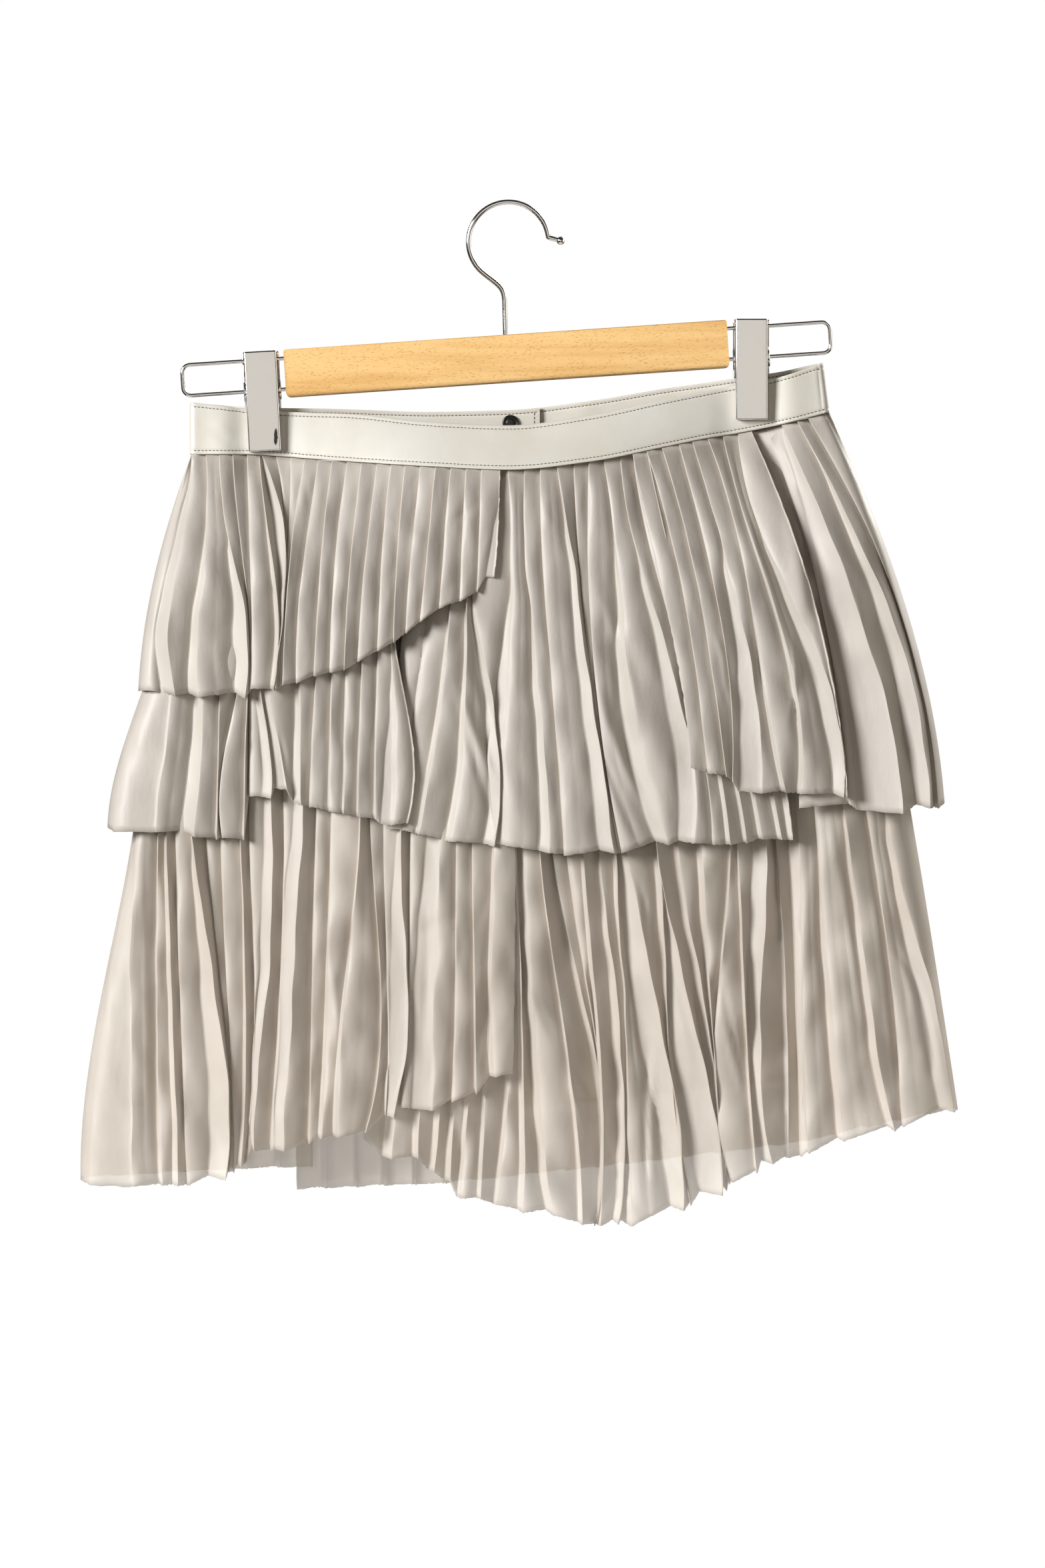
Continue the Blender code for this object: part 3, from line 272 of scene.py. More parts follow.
UPPER_SIDE_DRAPES = (
    Drape(-128.5, -156.5, 149.5, 153, 157, 160, 1.5, 1),
    Drape(-212, -330, 191, 198.5, 205, 209.5, 0.9, 0.6),
    Drape(-204.5, -323, 184.5, 192.5, 200, 205, 1.9, -0.6),
)
MIDDLE_MAIN_DRAPES = (
    Drape(-256, -300.5, -19, -14, -8.1, -2.2, 2.6, -1.3),
    Drape(-267.5, -326.5, -27.5, -21.5, -13.5, -5.2, 3, 1.8),
    Drape(-289.5, -341.5, -23.5, -19, -14, -8.1, 2.2, -1.2),
    Drape(-219, -297, 52, 61.5, 68, 70.5, 3.3, 1.8),
    Drape(-267.5, -345, 49.5, 57, 68, 82, 3.7, 2),
    Drape(-304.5, -356, 52, 58.5, 65, 72.5, 2.2, -1.4),
    Drape(-197, -286, 35, 40.5, 44.5, 44.5, 2.2, -1.2),
)
MIDDLE_LEFT_DRAPES = (
    Drape(-274.5, -330, -216, -214, -212.5, -211.5, 1.5, 0.7),
    Drape(-286, -345, -205, -203, -201.5, -200, 1.5, 0.6),
    Drape(-293, -330, -127.5, -124.5, -123, -120, 1.9, -0.9),
)
LOWER_LEFT_DRAPES = (
    Drape(-352.5, -493, -227, -223.5, -221.5, -220, 1.9, 0.8),
    Drape(-367, -515, -203, -201.5, -200.5, -199, 1.9, 0.7),
    Drape(-360, -441, -174.5, -167, -162, -158.5, 2.2, 1),
    Drape(-422.5, -515, -97.5, -94.5, -93, -95.5, 2.6, 1.1),
    Drape(-385.5, -478, -46, -44.5, -46, -47.5, 2.2, -0.9),
)
LOWER_MAIN_DRAPES = (
    Drape(-345, -463.5, 178.5, 185.5, 191.5, 199, 2.6, 1.3),
    Drape(-363.5, -500.5, 197.5, 205, 210, 215.5, 1.1, 0.6),
    Drape(-411.5, -485.5, 214, 226.5, 233, 236, 2.2, -1.5),
    Drape(-415.5, -478, 217.5, 223.5, 227, 231, 3, 1),
    Drape(-434, -478, 119, 121.5, 124.5, 127.5, 1.5, -1.2),
    Drape(-422.5, -485.5, 69, 69.5, 70.5, 71, 3.7, 1.2),
    Drape(-515, -552, 82, 87.5, 94.5, 102, 1.1, 1),
    Drape(-530, -567, 52, 59.5, 67, 74.5, 1.5, 1.1),
    Drape(-496.5, -537.5, 52, 55, 58.5, 63.5, 2.2, 1.2),
    Drape(-474.5, -511.5, 32, 34, 37.5, 41.5, 1.1, 0.8),
    Drape(-441, -463.5, 15, 19, 22.5, 26.5, 1.1, -0.6),
    Drape(-478, -500.5, 36.5, 41, 46, 50.5, 0.9, -0.6),
    Drape(-389.5, -434, 72.5, 75.5, 78, 82, 3, 1.2),
    Drape(-378.5, -411.5, 72.5, 75.5, 76, 78.5, 1.9, -1.2),
    Drape(-454, -563.5, 83.5, 80, 79.5, 80, 0.9, 1.4),
    Drape(-463.5, -552, 78.5, 75.5, 75.5, 76, 1.5, -1.5),
    Drape(-493, -563.5, 62, 63, 65, 67.5, 2.6, 0.9),
    Drape(-456, -493, 120.5, 123.5, 126.5, 129, 1.5, 1.1),
    Drape(-430, -485.5, 91, 94.5, 98.5, 102, 2.6, 1),
)

# The back is plain: the same pleats, evenly spread between its side edges.
Edge = namedtuple("Edge", "seam upper lower hem")
RIGHT_MIDDLE_EDGE = Edge(204.0, 213.0, 222.0, 229.0)
BACK_SLIT_LEFT = Edge(-116.0, -117.0, -118.0, -118.0)
BACK_SLIT_RIGHT = Edge(-108.0, -109.0, -109.0, -109.0)
LINING_EDGES = (Edge(-170.0, -193.0, -206.0, -214.0), Edge(171.5, 208.0, 219.0, 223.5))

# Hems of the back flounces and of the lining, as X and height.
BACK_UPPER_HEM = ((-205.5, -270.0), (-100.0, -289.5), (15.0, -312.0), (125.0, -326.5), (242.0, -332.0))
BACK_MIDDLE_HEM = ((-222.5, -345.5), (-100.0, -356.0), (50.0, -360.0), (160.0, -345.0), (229.0, -322.0))
BACK_LOWER_LEFT_HEM = ((-237.5, -541.0), (-160.0, -536.5), (-109.0, -534.5))
BACK_LOWER_RIGHT_HEM = ((-118.0, -547.5), (-33.0, -544.0), (65.0, -533.5), (160.0, -522.0), (249.5, -502.0))
LINING_HEM = ((-214.0, -500.5), (-17.5, -501.5), (100.0, -492.0), (223.5, -477.0))

# Hidden seams: where the lower flounces are sewn to the lining, as X and height.
MIDDLE_LEFT_SEAM = ((-200.0, -204.0), (-64.0, -204.0))
MIDDLE_MAIN_SEAM = (
    (-56.5, -208.0),
    (-42.0, -196.0),
    (-30.5, -182.5),
    (-21.5, -166.5),
    (-13.5, -155.5),
    (-1.0, -148.4),
    (62.0, -140.6),
    (80.0, -138.0),
    (86.0, -165.0),
    (115.0, -182.0),
)
# How far out that flounce's seam is, as X and distance from the middle plane.
MIDDLE_MAIN_STAND = (
    (-56.5, 25.0),
    (-42.0, 24.5),
    (-30.5, 23.0),
    (-21.5, 21.5),
    (-13.5, 20.5),
    (-1.0, 23.2),
    (20.0, 22.6),
    (45.0, 20.2),
    (62.0, 17.2),
    (80.0, 12.8),
    (86.0, 17.0),
    (115.0, 21.0),
)
LOWER_SEAM = ((-204.0, -300.0), (220.0, -304.0))
BACK_MIDDLE_SEAM = ((-200.0, -204.0), (200.0, -204.0))

SIDE_TURN = 16.0
SIDE_SQUARENESS = 3.2
PLEAT_AT_SEAM = 1.2
STEP_AT_SEAM = 0.8
HEM_RISE = 0.3
FOLD_RADIUS = 0.35
KNIFE_STEP = 2.0
KNIFE_TUCK = 0.5

# A crease pressed or crumpled into a flounce: its middle, its length and half width, its slope from level,
# and how far it stands out (above zero) or lies in.
Crease = namedtuple("Crease", "x z length width slope depth")


def ease(t):
    """A smooth step from 0 to 1."""
    t = np.clip(t, 0.0, 1.0)
    return t * t * (3 - 2 * t)


def along(values, t):
    """Smooth lines through four evenly spaced values each, read at t from 0 to 1."""
    a, b, c, d = values
    return (
        a * (1 - 3 * t) * (2 - 3 * t) * (1 - t) / 2
        + b * 9 * t * (2 - 3 * t) * (1 - t) / 2
        + c * 9 * t * (3 * t - 1) * (1 - t) / 2
        + d * t * (3 * t - 1) * (3 * t - 2) / 2
    )


def smooth_read(table, x):
    """A smooth line through a table of X and value that never swings past its rows, read at x."""
    xs, ys = np.array(table, float).T
    x = np.clip(x, xs[0], xs[-1])
    slopes = np.diff(ys) / np.diff(xs)
    product, total = slopes[:-1] * slopes[1:], slopes[:-1] + slopes[1:]
    inner = np.where(product > 0, 2 * product / np.where(total == 0, 1.0, total), 0.0)
    tangent = np.concatenate(([slopes[0]], inner, [slopes[-1]]))
    i = np.clip(np.searchsorted(xs, x, side="right") - 1, 0, len(xs) - 2)
    wide = xs[i + 1] - xs[i]
    t = (x - xs[i]) / wide
    rest = 1 - t
    return (
        (1 + 2 * t) * rest**2 * ys[i]
        + t * rest**2 * wide * tangent[i]
        + t**2 * (3 - 2 * t) * ys[i + 1]
        - t**2 * rest * wide * tangent[i + 1]
    )


def side_turn(room):
    """How far a wall stands out, from 0 to 1, as it turns round a side edge that is room away, in turns."""
    return (1 - (1 - np.clip(room, 0.0, 1.0)) ** SIDE_SQUARENESS) ** (1 / SIDE_SQUARENESS)


def waist(name, x):
    """One column of the waist's table at x."""
    value = smooth_read([(row.x, getattr(row, name)) for row in WAIST], x)
    if "out" in name:
        value = value * side_turn(np.minimum(x - WAIST[0].x, WAIST[-1].x - x) / WAIST_TURN)
    return value


def waist_seam(x):
    """The height at which the front's cloth meets the band."""
    return waist("seam", x) - SEAM_GAP


def back_waist_seam(x):
    """The height at which the back's cloth meets the band."""
    return waist("back_top", x) - BACK_BAND_HEIGHT - SEAM_GAP


def seam_on(table):
    """A line through a table of X and value, as a function of X."""
    return lambda x: np.interp(x, *np.array(table).T)


def on_band(behind, least=1.2, face="out_seam"):
    """A seam so far behind the waistband's face, and never nearer the middle plane than least."""
    return lambda x, turn: np.maximum(waist(face, x) - behind, least * turn)


def stand_on(table):
    """A seam at the distances of a table."""
    return lambda x, turn: seam_on(table)(x)


def level_start(stand):
    """A seam at one distance, which closes in where the piece turns round the side."""
    return lambda x, turn: stand * turn


def wave(seed, q):
    """A smooth uneven line from -1 to 1 along q, another for each seed: its phases only have to differ."""
    value = 0.0
    for k, (pace, height) in enumerate(((1.0, 0.5), (1.9, 0.3), (3.3, 0.2))):
        phase = math.sin(12.9898 * (seed + 1) + 78.233 * k) * 43.7585
        value = value + height * np.sin(2 * math.pi * pace * q + phase * 2 * math.pi)
    return value


def even_folds(left, right, hem, count, out, dip):
    """Fold rows spread evenly between two edges, for the plain back."""
    rows = []
    for i in range(count + 1):
        part = i / count
        places = [a + part * (b - a) for a, b in zip(left, right)]
        end = i in (0, count)
        uneven = 1 + 0.3 * math.sin(2.4 * i)
        low = float(np.interp(places[3], *np.array(hem).T))
        steps = (0.0, 0.0, 0.0) if end else (1.2 * uneven, 2.0 * uneven, 2.5 * uneven)
        stands, lies = (0.0, 0.0) if end else (out * uneven, dip * uneven)
        rows.append((*places, low, *steps, stands, lies))
    return rows


# How a piece hangs: its mean distance from the middle plane low down and, as a function of X and of the turn
# round the side, at its seam; over what height it goes from one to the other; and which of its ends turn
# round the side.
Hang = namedtuple("Hang", "reach start drop left_side right_side facing")
# A flounce: its piece's name, the solid that it stands for, its folds, its seam, how it hangs, its creases
# and its drapes.
Flounce = namedtuple("Flounce", "name node folds seam hang creases drapes")


# How the folds stand: how far down they are pressed flat, the least width and cover of a step, and how
# steeply a step may rise. A step wider than KNIFE_STEP opens over OPEN_OVER, and an open fold differs less
# from its row.
PRESSED_DROP = 22.0
LEAST_STEP = 0.5
LEAST_COVER = 0.5
RISE_AT_KNIFE = 2.8
MOST_RISE = 0.7
KNIFE_DEPTH = 1.0
FOLD_DEPTH = 0.8
OPEN_OVER = 3.0
OPEN_EVENNESS = 0.7
CLOSED_HEM_RISE = 0.4
FOLD_WANDER = 0.2
OPEN_WANDER = 4.0
WANDER_GROWS = 3

# How a panel bows between two folds. A panel wider than OLD_PLEAT keeps creases from pleats that fell open,
# and one that leans hard to one side is drawn flat: its crown goes from whole to LEAST_CROWN as it leans.
PANEL_ROLL = 0.02
PANEL_CROWN = 0.165
CROWN_SKEW = 0.85
CROWN_UNEVEN = 0.5
MOST_CROWN = 2.2
LEAST_CROWN = 0.15
CROWN_UPRIGHT = 1.25
CROWN_LEAN = 1.6
OLD_PLEAT = 9.0
OLD_PLEAT_CROWN = 0.3

# Where the columns of points lie: parts of a panel, parts of an open and of a closed step, and degrees round
# the rounded edge of a closed and of an open fold.
PANEL_PARTS = (0.0, 0.03, 0.09, 0.18, 0.29, 0.41, 0.53, 0.65, 0.76, 0.86, 0.94, 1.0)
SLOPE_PARTS = (0.1, 0.26, 0.43, 0.6, 0.77, 0.92)
KNIFE_PARTS = (0.35, 0.75)
KNIFE_NOSE = (215.0, 178.0, 140.0, 112.0)
RIDGE_NOSE = (150.0, 115.0)
KNIFE_FADE = 1.2
NOSE_SINK = 1.4


class Folds:
    """A flounce's fold edges and the bottoms of their steps, at every level from its seam to its hem."""

    def __init__(self, flounce, t):
        rows = np.array(flounce.folds, float)
        places, self.low, steps, out, dip = rows[:, :4].T, rows[:, 4], rows[:, 5:8].T, rows[:, 8], rows[:, 9]
        self.t = t
        self.step = steps.max(axis=0)
        self.seam_x = places[0]
        self.top = flounce.seam(places[0])
        self.x = along(places, t)
        self.left, self.right = self.x[:, 0].copy(), self.x[:, -1].copy()
        loose = ease(t * WANDER_GROWS)
        drop = t * (self.top - self.low)
        count = len(rows)
        open_part = np.clip((self.step - KNIFE_STEP) / OPEN_OVER, 0.0, 1.0)
        for i in range(1, count - 1):
            strays = FOLD_WANDER * (1 + OPEN_WANDER * open_part[i])
            self.x[:, i] += strays * wave(i + 0.37 * count, drop[:, i] / 110.0) * loose[:, 0]
        wide = np.maximum(along((STEP_AT_SEAM, *steps), t), LEAST_STEP)
        self.wide = np.where(self.step > 0, wide, 0.0)
        self.loose = ease(drop / PRESSED_DROP)
        depth = KNIFE_DEPTH + (FOLD_DEPTH - KNIFE_DEPTH) * open_part
        self.out = self.grown(out * depth)
        self.dip = self.grown(-dip * depth)
        for i in range(1, count - 1):
            # Closed folds differ from one to the next, and open ones stay as their rows say.
            own = 1 - OPEN_EVENNESS * open_part[i]
            down = drop[:, i]
            out_change = 0.4 * wave(i * 1.71 + count, 0.0) + 0.45 * wave(i + 5.3, down / 105.0)
            dip_change = 0.9 * wave(i * 2.93 + count, 0.0) + 0.6 * wave(i + 9.1, down / 95.0)
            self.out[:, i] *= 1 + own * out_change
            self.dip[:, i] *= 1 + own * dip_change
        most_rise = RISE_AT_KNIFE + MOST_RISE * self.wide
        self.dip = np.maximum(self.dip, self.out - most_rise)
        covered = np.minimum(self.dip, self.out - LEAST_COVER)
        self.dip = np.where(self.step > 0, covered, self.dip)
        share = CLOSED_HEM_RISE + (1 - CLOSED_HEM_RISE) * open_part
        self.rise = HEM_RISE * np.maximum(out + dip, 0) * share

    def grown(self, height):
        """A fold's height at every level: pressed almost flat at the seam, and its own lower down."""
        pressed = np.copysign(np.minimum(np.abs(height), PLEAT_AT_SEAM), height)
        return pressed + (height - pressed) * self.loose

    def z(self, i, lift=0.0):
        t = self.t[:, 0]
        return self.top[i] - t * (self.top[i] - self.low[i] - lift)


def flounce_columns(folds):
    """Every column of a flounce from left to right, as (X, height off the sheet, Z, seam X) at each level."""
    columns = []
    count = len(folds.low)
    for i in range(count - 1):
        j = i + 1
        grow = folds.loose[:, i]
        left_x, left_out = folds.x[:, i] + (FOLD_RADIUS if i else 0.0), folds.out[:, i]
        knife = np.clip((KNIFE_STEP - folds.wide[:, j]) / KNIFE_FADE, 0.0, 1.0) if folds.step[j] else 0.0
        bottom_x = folds.x[:, j] - folds.wide[:, j] * (1 - knife) + KNIFE_TUCK * knife
        bottom = folds.dip[:, j] if folds.step[j] else folds.out[:, j]
        bottom_z = folds.z(j, folds.rise[j] if folds.step[j] else 0.0)
        drop = folds.top[i] - folds.z(i)
        wide = np.maximum(bottom_x - left_x, 0.0)
        crown = PANEL_CROWN * wide * (1 + CROWN_UNEVEN * (wave(i + 31.9, drop / 160.0) + wave(i * 2.3, 0.0)))
        lean = np.abs(left_out - bottom) / np.maximum(wide, 1.0)
        crown = crown * np.clip(CROWN_UPRIGHT - CROWN_LEAN * lean, LEAST_CROWN, 1.0)
        crown = np.minimum(crown, MOST_CROWN) * grow
        roll = PANEL_ROLL * wide * wave(i + 40.7, drop / 60.0) * grow
        opened = max(1, round(float(wide[-1]) / OLD_PLEAT))
        parts = set(PANEL_PARTS) | {k / opened for k in range(1, opened)}
        for u in sorted(parts)[: None if folds.step[j] else -1]:
            skewed = u**CROWN_SKEW
            height = left_out + (bottom - left_out) * u + 4 * crown * skewed * (1 - skewed)
            height = height + roll * math.sin(2 * math.pi * u)
            if opened > 1:
                height = height + OLD_PLEAT_CROWN * grow * abs(math.sin(math.pi * u * opened))
            x = left_x + u * (bottom_x - left_x)
            z = (1 - u) * folds.z(i) + u * bottom_z
            seam_x = folds.seam_x[i] + u * (folds.seam_x[j] - folds.seam_x[i])
            columns.append((x, height, z, np.full_like(x, seam_x)))
        if not folds.step[j]:
            continue
        narrow = folds.step[j] <= KNIFE_STEP
        for v in KNIFE_PARTS if narrow else SLOPE_PARTS:
            risen = v if narrow else 0.5 * v + 0.5 * v**2
            height = bottom + (folds.out[:, j] - FOLD_RADIUS * NOSE_SINK - bottom) * risen
            x = bottom_x + v * (folds.x[:, j] - bottom_x)
            z = bottom_z + v * (folds.z(j) - bottom_z)
            columns.append((x, height, z, np.full_like(x, folds.seam_x[j])))
        for degrees in KNIFE_NOSE if narrow else RIDGE_NOSE:
            angle = math.radians(degrees)
            x = folds.x[:, j] + FOLD_RADIUS * (1 + math.cos(angle))
            height = folds.out[:, j] - FOLD_RADIUS * (1 - math.sin(angle))
            columns.append((x, height, folds.z(j), np.full_like(x, folds.seam_x[j])))
    last = count - 1
    seam_x = np.full_like(folds.t[:, 0], folds.seam_x[last])
    columns.append((folds.x[:, last], folds.out[:, last], folds.z(last), seam_x))
    return [np.stack(part, axis=1) for part in zip(*columns)]


def ragged(amount, x):
    """The uneven line of a raw cut edge."""
    slow = 0.6 * np.sin(x * 2.9 + 1.3 * np.sin(x * 0.83))
    return amount * (slow + 0.5 * np.sin(x * 7.3) + 0.4 * np.sin(x * 0.41))


def pressed_in(x, z, creases, drapes=()):
    """How far the creases and the soft drapes raise or sink each point."""
    height = np.zeros_like(x)
    for crease in creases:
        angle = math.radians(crease.slope)
        dx, dz = x - crease.x, z - crease.z
        run = (dx * math.cos(angle) + dz * math.sin(angle)) / (crease.length / 2)
        across = (dz * math.cos(angle) - dx * math.sin(angle)) / crease.width
        inside = np.clip(1 - run**2, 0.0, 1.0) ** 1.5
        height += crease.depth * inside * np.exp(-(across**2))
    for drape in drapes:
        down = (drape.top - z) / (drape.top - drape.foot)
        middle = along((drape.x1, drape.x2, drape.x3, drape.x4), np.clip(down, 0.0, 1.0))
        inside = np.sqrt(np.clip(4 * down * (1 - down), 0.0, 1.0))
        height += drape.depth * inside * np.exp(-(((x - middle) / drape.width) ** 2))
    return height


# The height of a hung sheet's broad and narrow waves, and how uneven its cut edges are. The last part of a
# sheet's drop, from HEM_START down, takes the unevenness of its hem.
SWELL = 0.6
SWAY = 1.0
EDGE_RAGGED = 0.28
HEM_RAGGED = 0.3
HEM_START = 0.93
HEM_PART = 0.07
# Down the sheet the waves and the creases grow this fast, and round a side the pleats' relief does.
WAVES_GROW = 2.5
CREASES_GROW = 6
RELIEF_GROWS = 1.5


def hang_points(flounce, t, folds, x, height, z, seam_x):
    """Places columns round the body: on the sheet that the flounce hangs in, with their heights off it."""
    hang = flounce.hang
    room = np.full_like(x, SIDE_TURN)
    if hang.left_side:
        room = np.minimum(room, x - folds.left[:, None])
    if hang.right_side:
        room = np.minimum(room, folds.right[:, None] - x)
    turn = side_turn(room / SIDE_TURN)
    drop = z[:1] - z
    start = hang.start(seam_x, turn)
    stand = start + (hang.reach * turn - start) * ease(drop / hang.drop)
    loose = ease(t * WAVES_GROW)
    swell = (SWELL * wave(3.1, x / 210.0 + z / 560.0) + SWAY * wave(5.7, x / 85.0 + z / 120.0)) * loose
    height = height + swell + pressed_in(x, z, flounce.creases, flounce.drapes) * ease(t * CREASES_GROW)
    stand = np.maximum(stand + height * np.minimum(turn * RELIEF_GROWS, 1.0), 0.0)
    return np.stack([x, hang.facing * stand, z], axis=-1)


def flounce_points(flounce, levels):
    """The outer face of a flounce, as levels of points in millimetres."""
    t = np.linspace(0.0, 1.0, levels + 1)[:, None]
    folds = Folds(flounce, t)
    x, height, z, seam_x = flounce_columns(folds)
    near_hem = ease((t - HEM_START) / HEM_PART)
    z = z + ragged(HEM_RAGGED, x + 3.1 * folds.low[0]) * near_hem
    for at_side, column in ((flounce.hang.left_side, 0), (flounce.hang.right_side, -1)):
        if not at_side:
            x[:, column] += ragged(EDGE_RAGGED, z[:, column])
    return hang_points(flounce, t, folds, x, height, z, seam_x)


def make_object(name, mesh):
    """An object in the scene for a mesh, a curve, a light or a camera."""
    made = bpy.data.objects.new(name, mesh)
    bpy.context.scene.collection.objects.link(made)
    return made


def sheet_mesh(name, points, facing, closed=False):
    """A mesh through levels of points, facing outwards, with a UV map in metres along the cloth."""
    levels, columns, _ = points.shape
    index = np.arange(levels * columns).reshape(levels, columns)
    right = np.roll(index, -1, axis=1) if closed else index[:, 1:]
    here = index if closed else index[:, :-1]
    corners = [here[:-1], here[1:], right[1:], right[:-1]]
    if facing == BACK:
        corners.reverse()
    faces = np.stack(corners, axis=-1).reshape(-1, 4)
    mesh = bpy.data.meshes.new(name)
    mesh.from_pydata((points.reshape(-1, 3) * MM).tolist(), [], faces.tolist())
    middle = points[levels // 2]
    across = np.concatenate(([0.0], np.cumsum(np.linalg.norm(np.diff(middle, axis=0), axis=1))))
    down = np.linalg.norm(points - points[:1], axis=-1)
    spots = np.stack([np.broadcast_to(across, down.shape), down], axis=-1).reshape(-1, 2) * MM
    layer = mesh.uv_layers.new(name="cloth")
    layer.uv.foreach_set("vector", spots[faces.reshape(-1)].astype(np.float32).reshape(-1))
    mesh.shade_smooth()
    return mesh


def finish_piece(made, material, slot, *nodes):
    """Gives a piece its material and its body, and hides the solids that it stands for."""
    made.data.materials.clear()
    made.data.materials.append(material)
    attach(made, BODY)
    if nodes:
        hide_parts(*nodes)
    return made


def thicken(made, wall):
    """Gives a sheet its real thickness, inward from its outer face."""
    change = made.modifiers.new("cloth thickness", "SOLIDIFY")
    change.thickness = wall * MM
    change.offset = -1.0
    change.use_rim = True
    return made


def cloth_piece(name, points, facing, wall, material, slot, nodes, held, hangs_from):
    """One sheet of cloth as a thin shell."""
    made = make_object(name, sheet_mesh(name, points, facing))
    finish_piece(made, material, slot, *nodes)
    thicken(made, wall)
    return made


def mesh_from(name, shape):
    """A new mesh from a bmesh, which is freed."""
    mesh = bpy.data.meshes.new(name)
    shape.to_mesh(mesh)
    shape.free()
    return mesh


def shade(mesh, sharp_degrees):
    """Smooth shading, but for edges that turn by more than an angle."""
    mesh.shade_smooth()
    mesh.set_sharp_from_angle(angle=math.radians(sharp_degrees))
    return mesh


def evaluated_piece(made):
    """The object with its modifiers turned into a plain mesh."""
    graph = bpy.context.evaluated_depsgraph_get()
    mesh = bpy.data.meshes.new_from_object(made.evaluated_get(graph))
    name = made.name
    bpy.data.objects.remove(made)
    mesh.name = name
    return make_object(name, mesh)


# ---------------------------------------------------------------- the waistband

LEATHER_WALL = 1.8
BAND_CORNER = 0.8
BAND_SHARP_DEGREES = 60
STITCH_INSET = 2.2
STITCH_GROOVE = 0.22
STITCH_GROOVE_WIDTH = 0.75
# The outline has close points this far either side of a stitch line, and none from there to the next such
# reach.
GROOVE_SIDE = 1.6
GROOVE_CLEAR = 3.0
# Over what length the outer back part comes down to the inner one.
LAP_LENGTH = 30.0


def band_lines(x, facing, lap=0.0):
    """A band's outer face at x: the heights of its edges, then their distances from the middle plane."""
    if facing == FRONT:
        return waist("top", x), waist("seam", x), waist("out_top", x), waist("out_seam", x)
    top = waist("back_top", x)
    return top, top - BACK_BAND_HEIGHT, waist("back_out_top", x) + lap, waist("back_out_seam", x) + lap


# The right end of the band leans outward down its height, by this much each way at its edges.
BAND_END_LEAN = 1.8
BAND_END_REACH = 30.0


def band_point(x, down, deep, facing, lap=0.0):
    """A point of a band: down from its top edge and deep behind its outer face, in millimetres."""
    reach = 0.05
    top, low, out_top, out_low = band_lines(x, facing, lap)
    part = down / (top - low)
    stand = out_top + part * (out_low - out_top)
    _, _, near_top, near_low = band_lines(x - reach, facing, lap)
    _, _, far_top, far_low = band_lines(x + reach, facing, lap)
    slope = ((1 - part) * (far_top - near_top) + part * (far_low - near_low)) / (2 * reach)
    tilt = np.hypot(1.0, slope)
    lean = BAND_END_LEAN * (2 * part - 1) * ease((x - WAIST[-1].x) / BAND_END_REACH + 1)
    places = (x + lean + deep * slope / tilt, facing * (stand - deep / tilt), top - down)
    return np.stack(np.broadcast_arrays(*places), axis=-1)


def band_stations(low, high, step=2.5):
    """X stations along a band, closer together where it turns round a side."""
    span = np.arange(low, high, step)
    near = WAIST_TURN * (1 - np.cos(np.linspace(0.0, math.pi / 2, 9)))
    left, right = WAIST[0].x + near, WAIST[-1].x - near
    turns = [side[(side > low) & (side < high)] for side in (left, right)]
    xs = np.unique(np.round(np.concatenate([span, [high], *turns]), 3))
    return xs[np.concatenate([[True], np.diff(xs) > 0.02])]


def groove(down, height):
    """How deep the two stitch lines press into the leather."""
    lines = (STITCH_INSET, height - STITCH_INSET)
    return sum(STITCH_GROOVE * math.exp(-(((down - line) / STITCH_GROOVE_WIDTH) ** 2)) for line in lines)


def band_outline(height):
    """Round the section of a band, as pairs of down and deep, from the top of its outer face."""
    corner = BAND_CORNER
    downs = np.concatenate([
        np.linspace(corner, STITCH_INSET + GROOVE_SIDE, 9),
        np.linspace(STITCH_INSET + GROOVE_CLEAR, height - STITCH_INSET - GROOVE_CLEAR, 12),
        np.linspace(height - STITCH_INSET - GROOVE_SIDE, height - corner, 9),
    ])
    outline = [(down, groove(down, height)) for down in downs]
    turn = [(math.sin(a), 1 - math.cos(a)) for a in np.linspace(math.pi / 8, math.pi / 2, 4)]
    outline += [(height - corner + corner * s, corner * c) for s, c in turn]
    outline += [(height - corner + corner * s, LEATHER_WALL - corner * c) for s, c in reversed(turn)]
    outline += [(down, LEATHER_WALL - groove(down, height)) for down in reversed(downs)]
    outline += [(corner - corner * s, LEATHER_WALL - corner * c) for s, c in turn]
    outline += [(corner - corner * s, corner * c) for s, c in reversed(turn)]
    return outline


def back_lap(x):
    """How far the back band's outer part stands off where it laps over the other."""
    return (LEATHER_WALL + 2 * SEAM_GAP) * (1 - ease((x - BACK_LAP[1]) / LAP_LENGTH))


def band_mesh(name, low, high, facing, lap=None, creases=()):
    """A stretch of the waistband as one closed strip of leather."""
    xs = band_stations(low, high)
    rings = []
    for x in xs:
        top, bottom, _, _ = band_lines(x, facing)
        outline = np.array(band_outline(float(top - bottom)))
        points = band_point(x, outline[:, 0], outline[:, 1], facing, lap(x) if lap else 0.0)
        outer = outline[:, 1] < LEATHER_WALL / 2
        points[outer, 1] += facing * pressed_in(points[outer, 0], points[outer, 2], creases)
        rings.append(points)
    mesh = sheet_mesh(name, np.stack(rings), facing, closed=True)
    shape = bmesh.new()
    shape.from_mesh(mesh)
    shape.verts.ensure_lookup_table()
    count = len(rings[0])
    ends = (range(count), range(len(rings) * count - count, len(rings) * count))
    for end in ends:
        shape.faces.new([shape.verts[i] for i in end])
    bmesh.ops.recalc_face_normals(shape, faces=shape.faces[:])
    shape.to_mesh(mesh)
    shape.free()
    return shade(mesh, BAND_SHARP_DEGREES)


# ---------------------------------------------------------------- materials


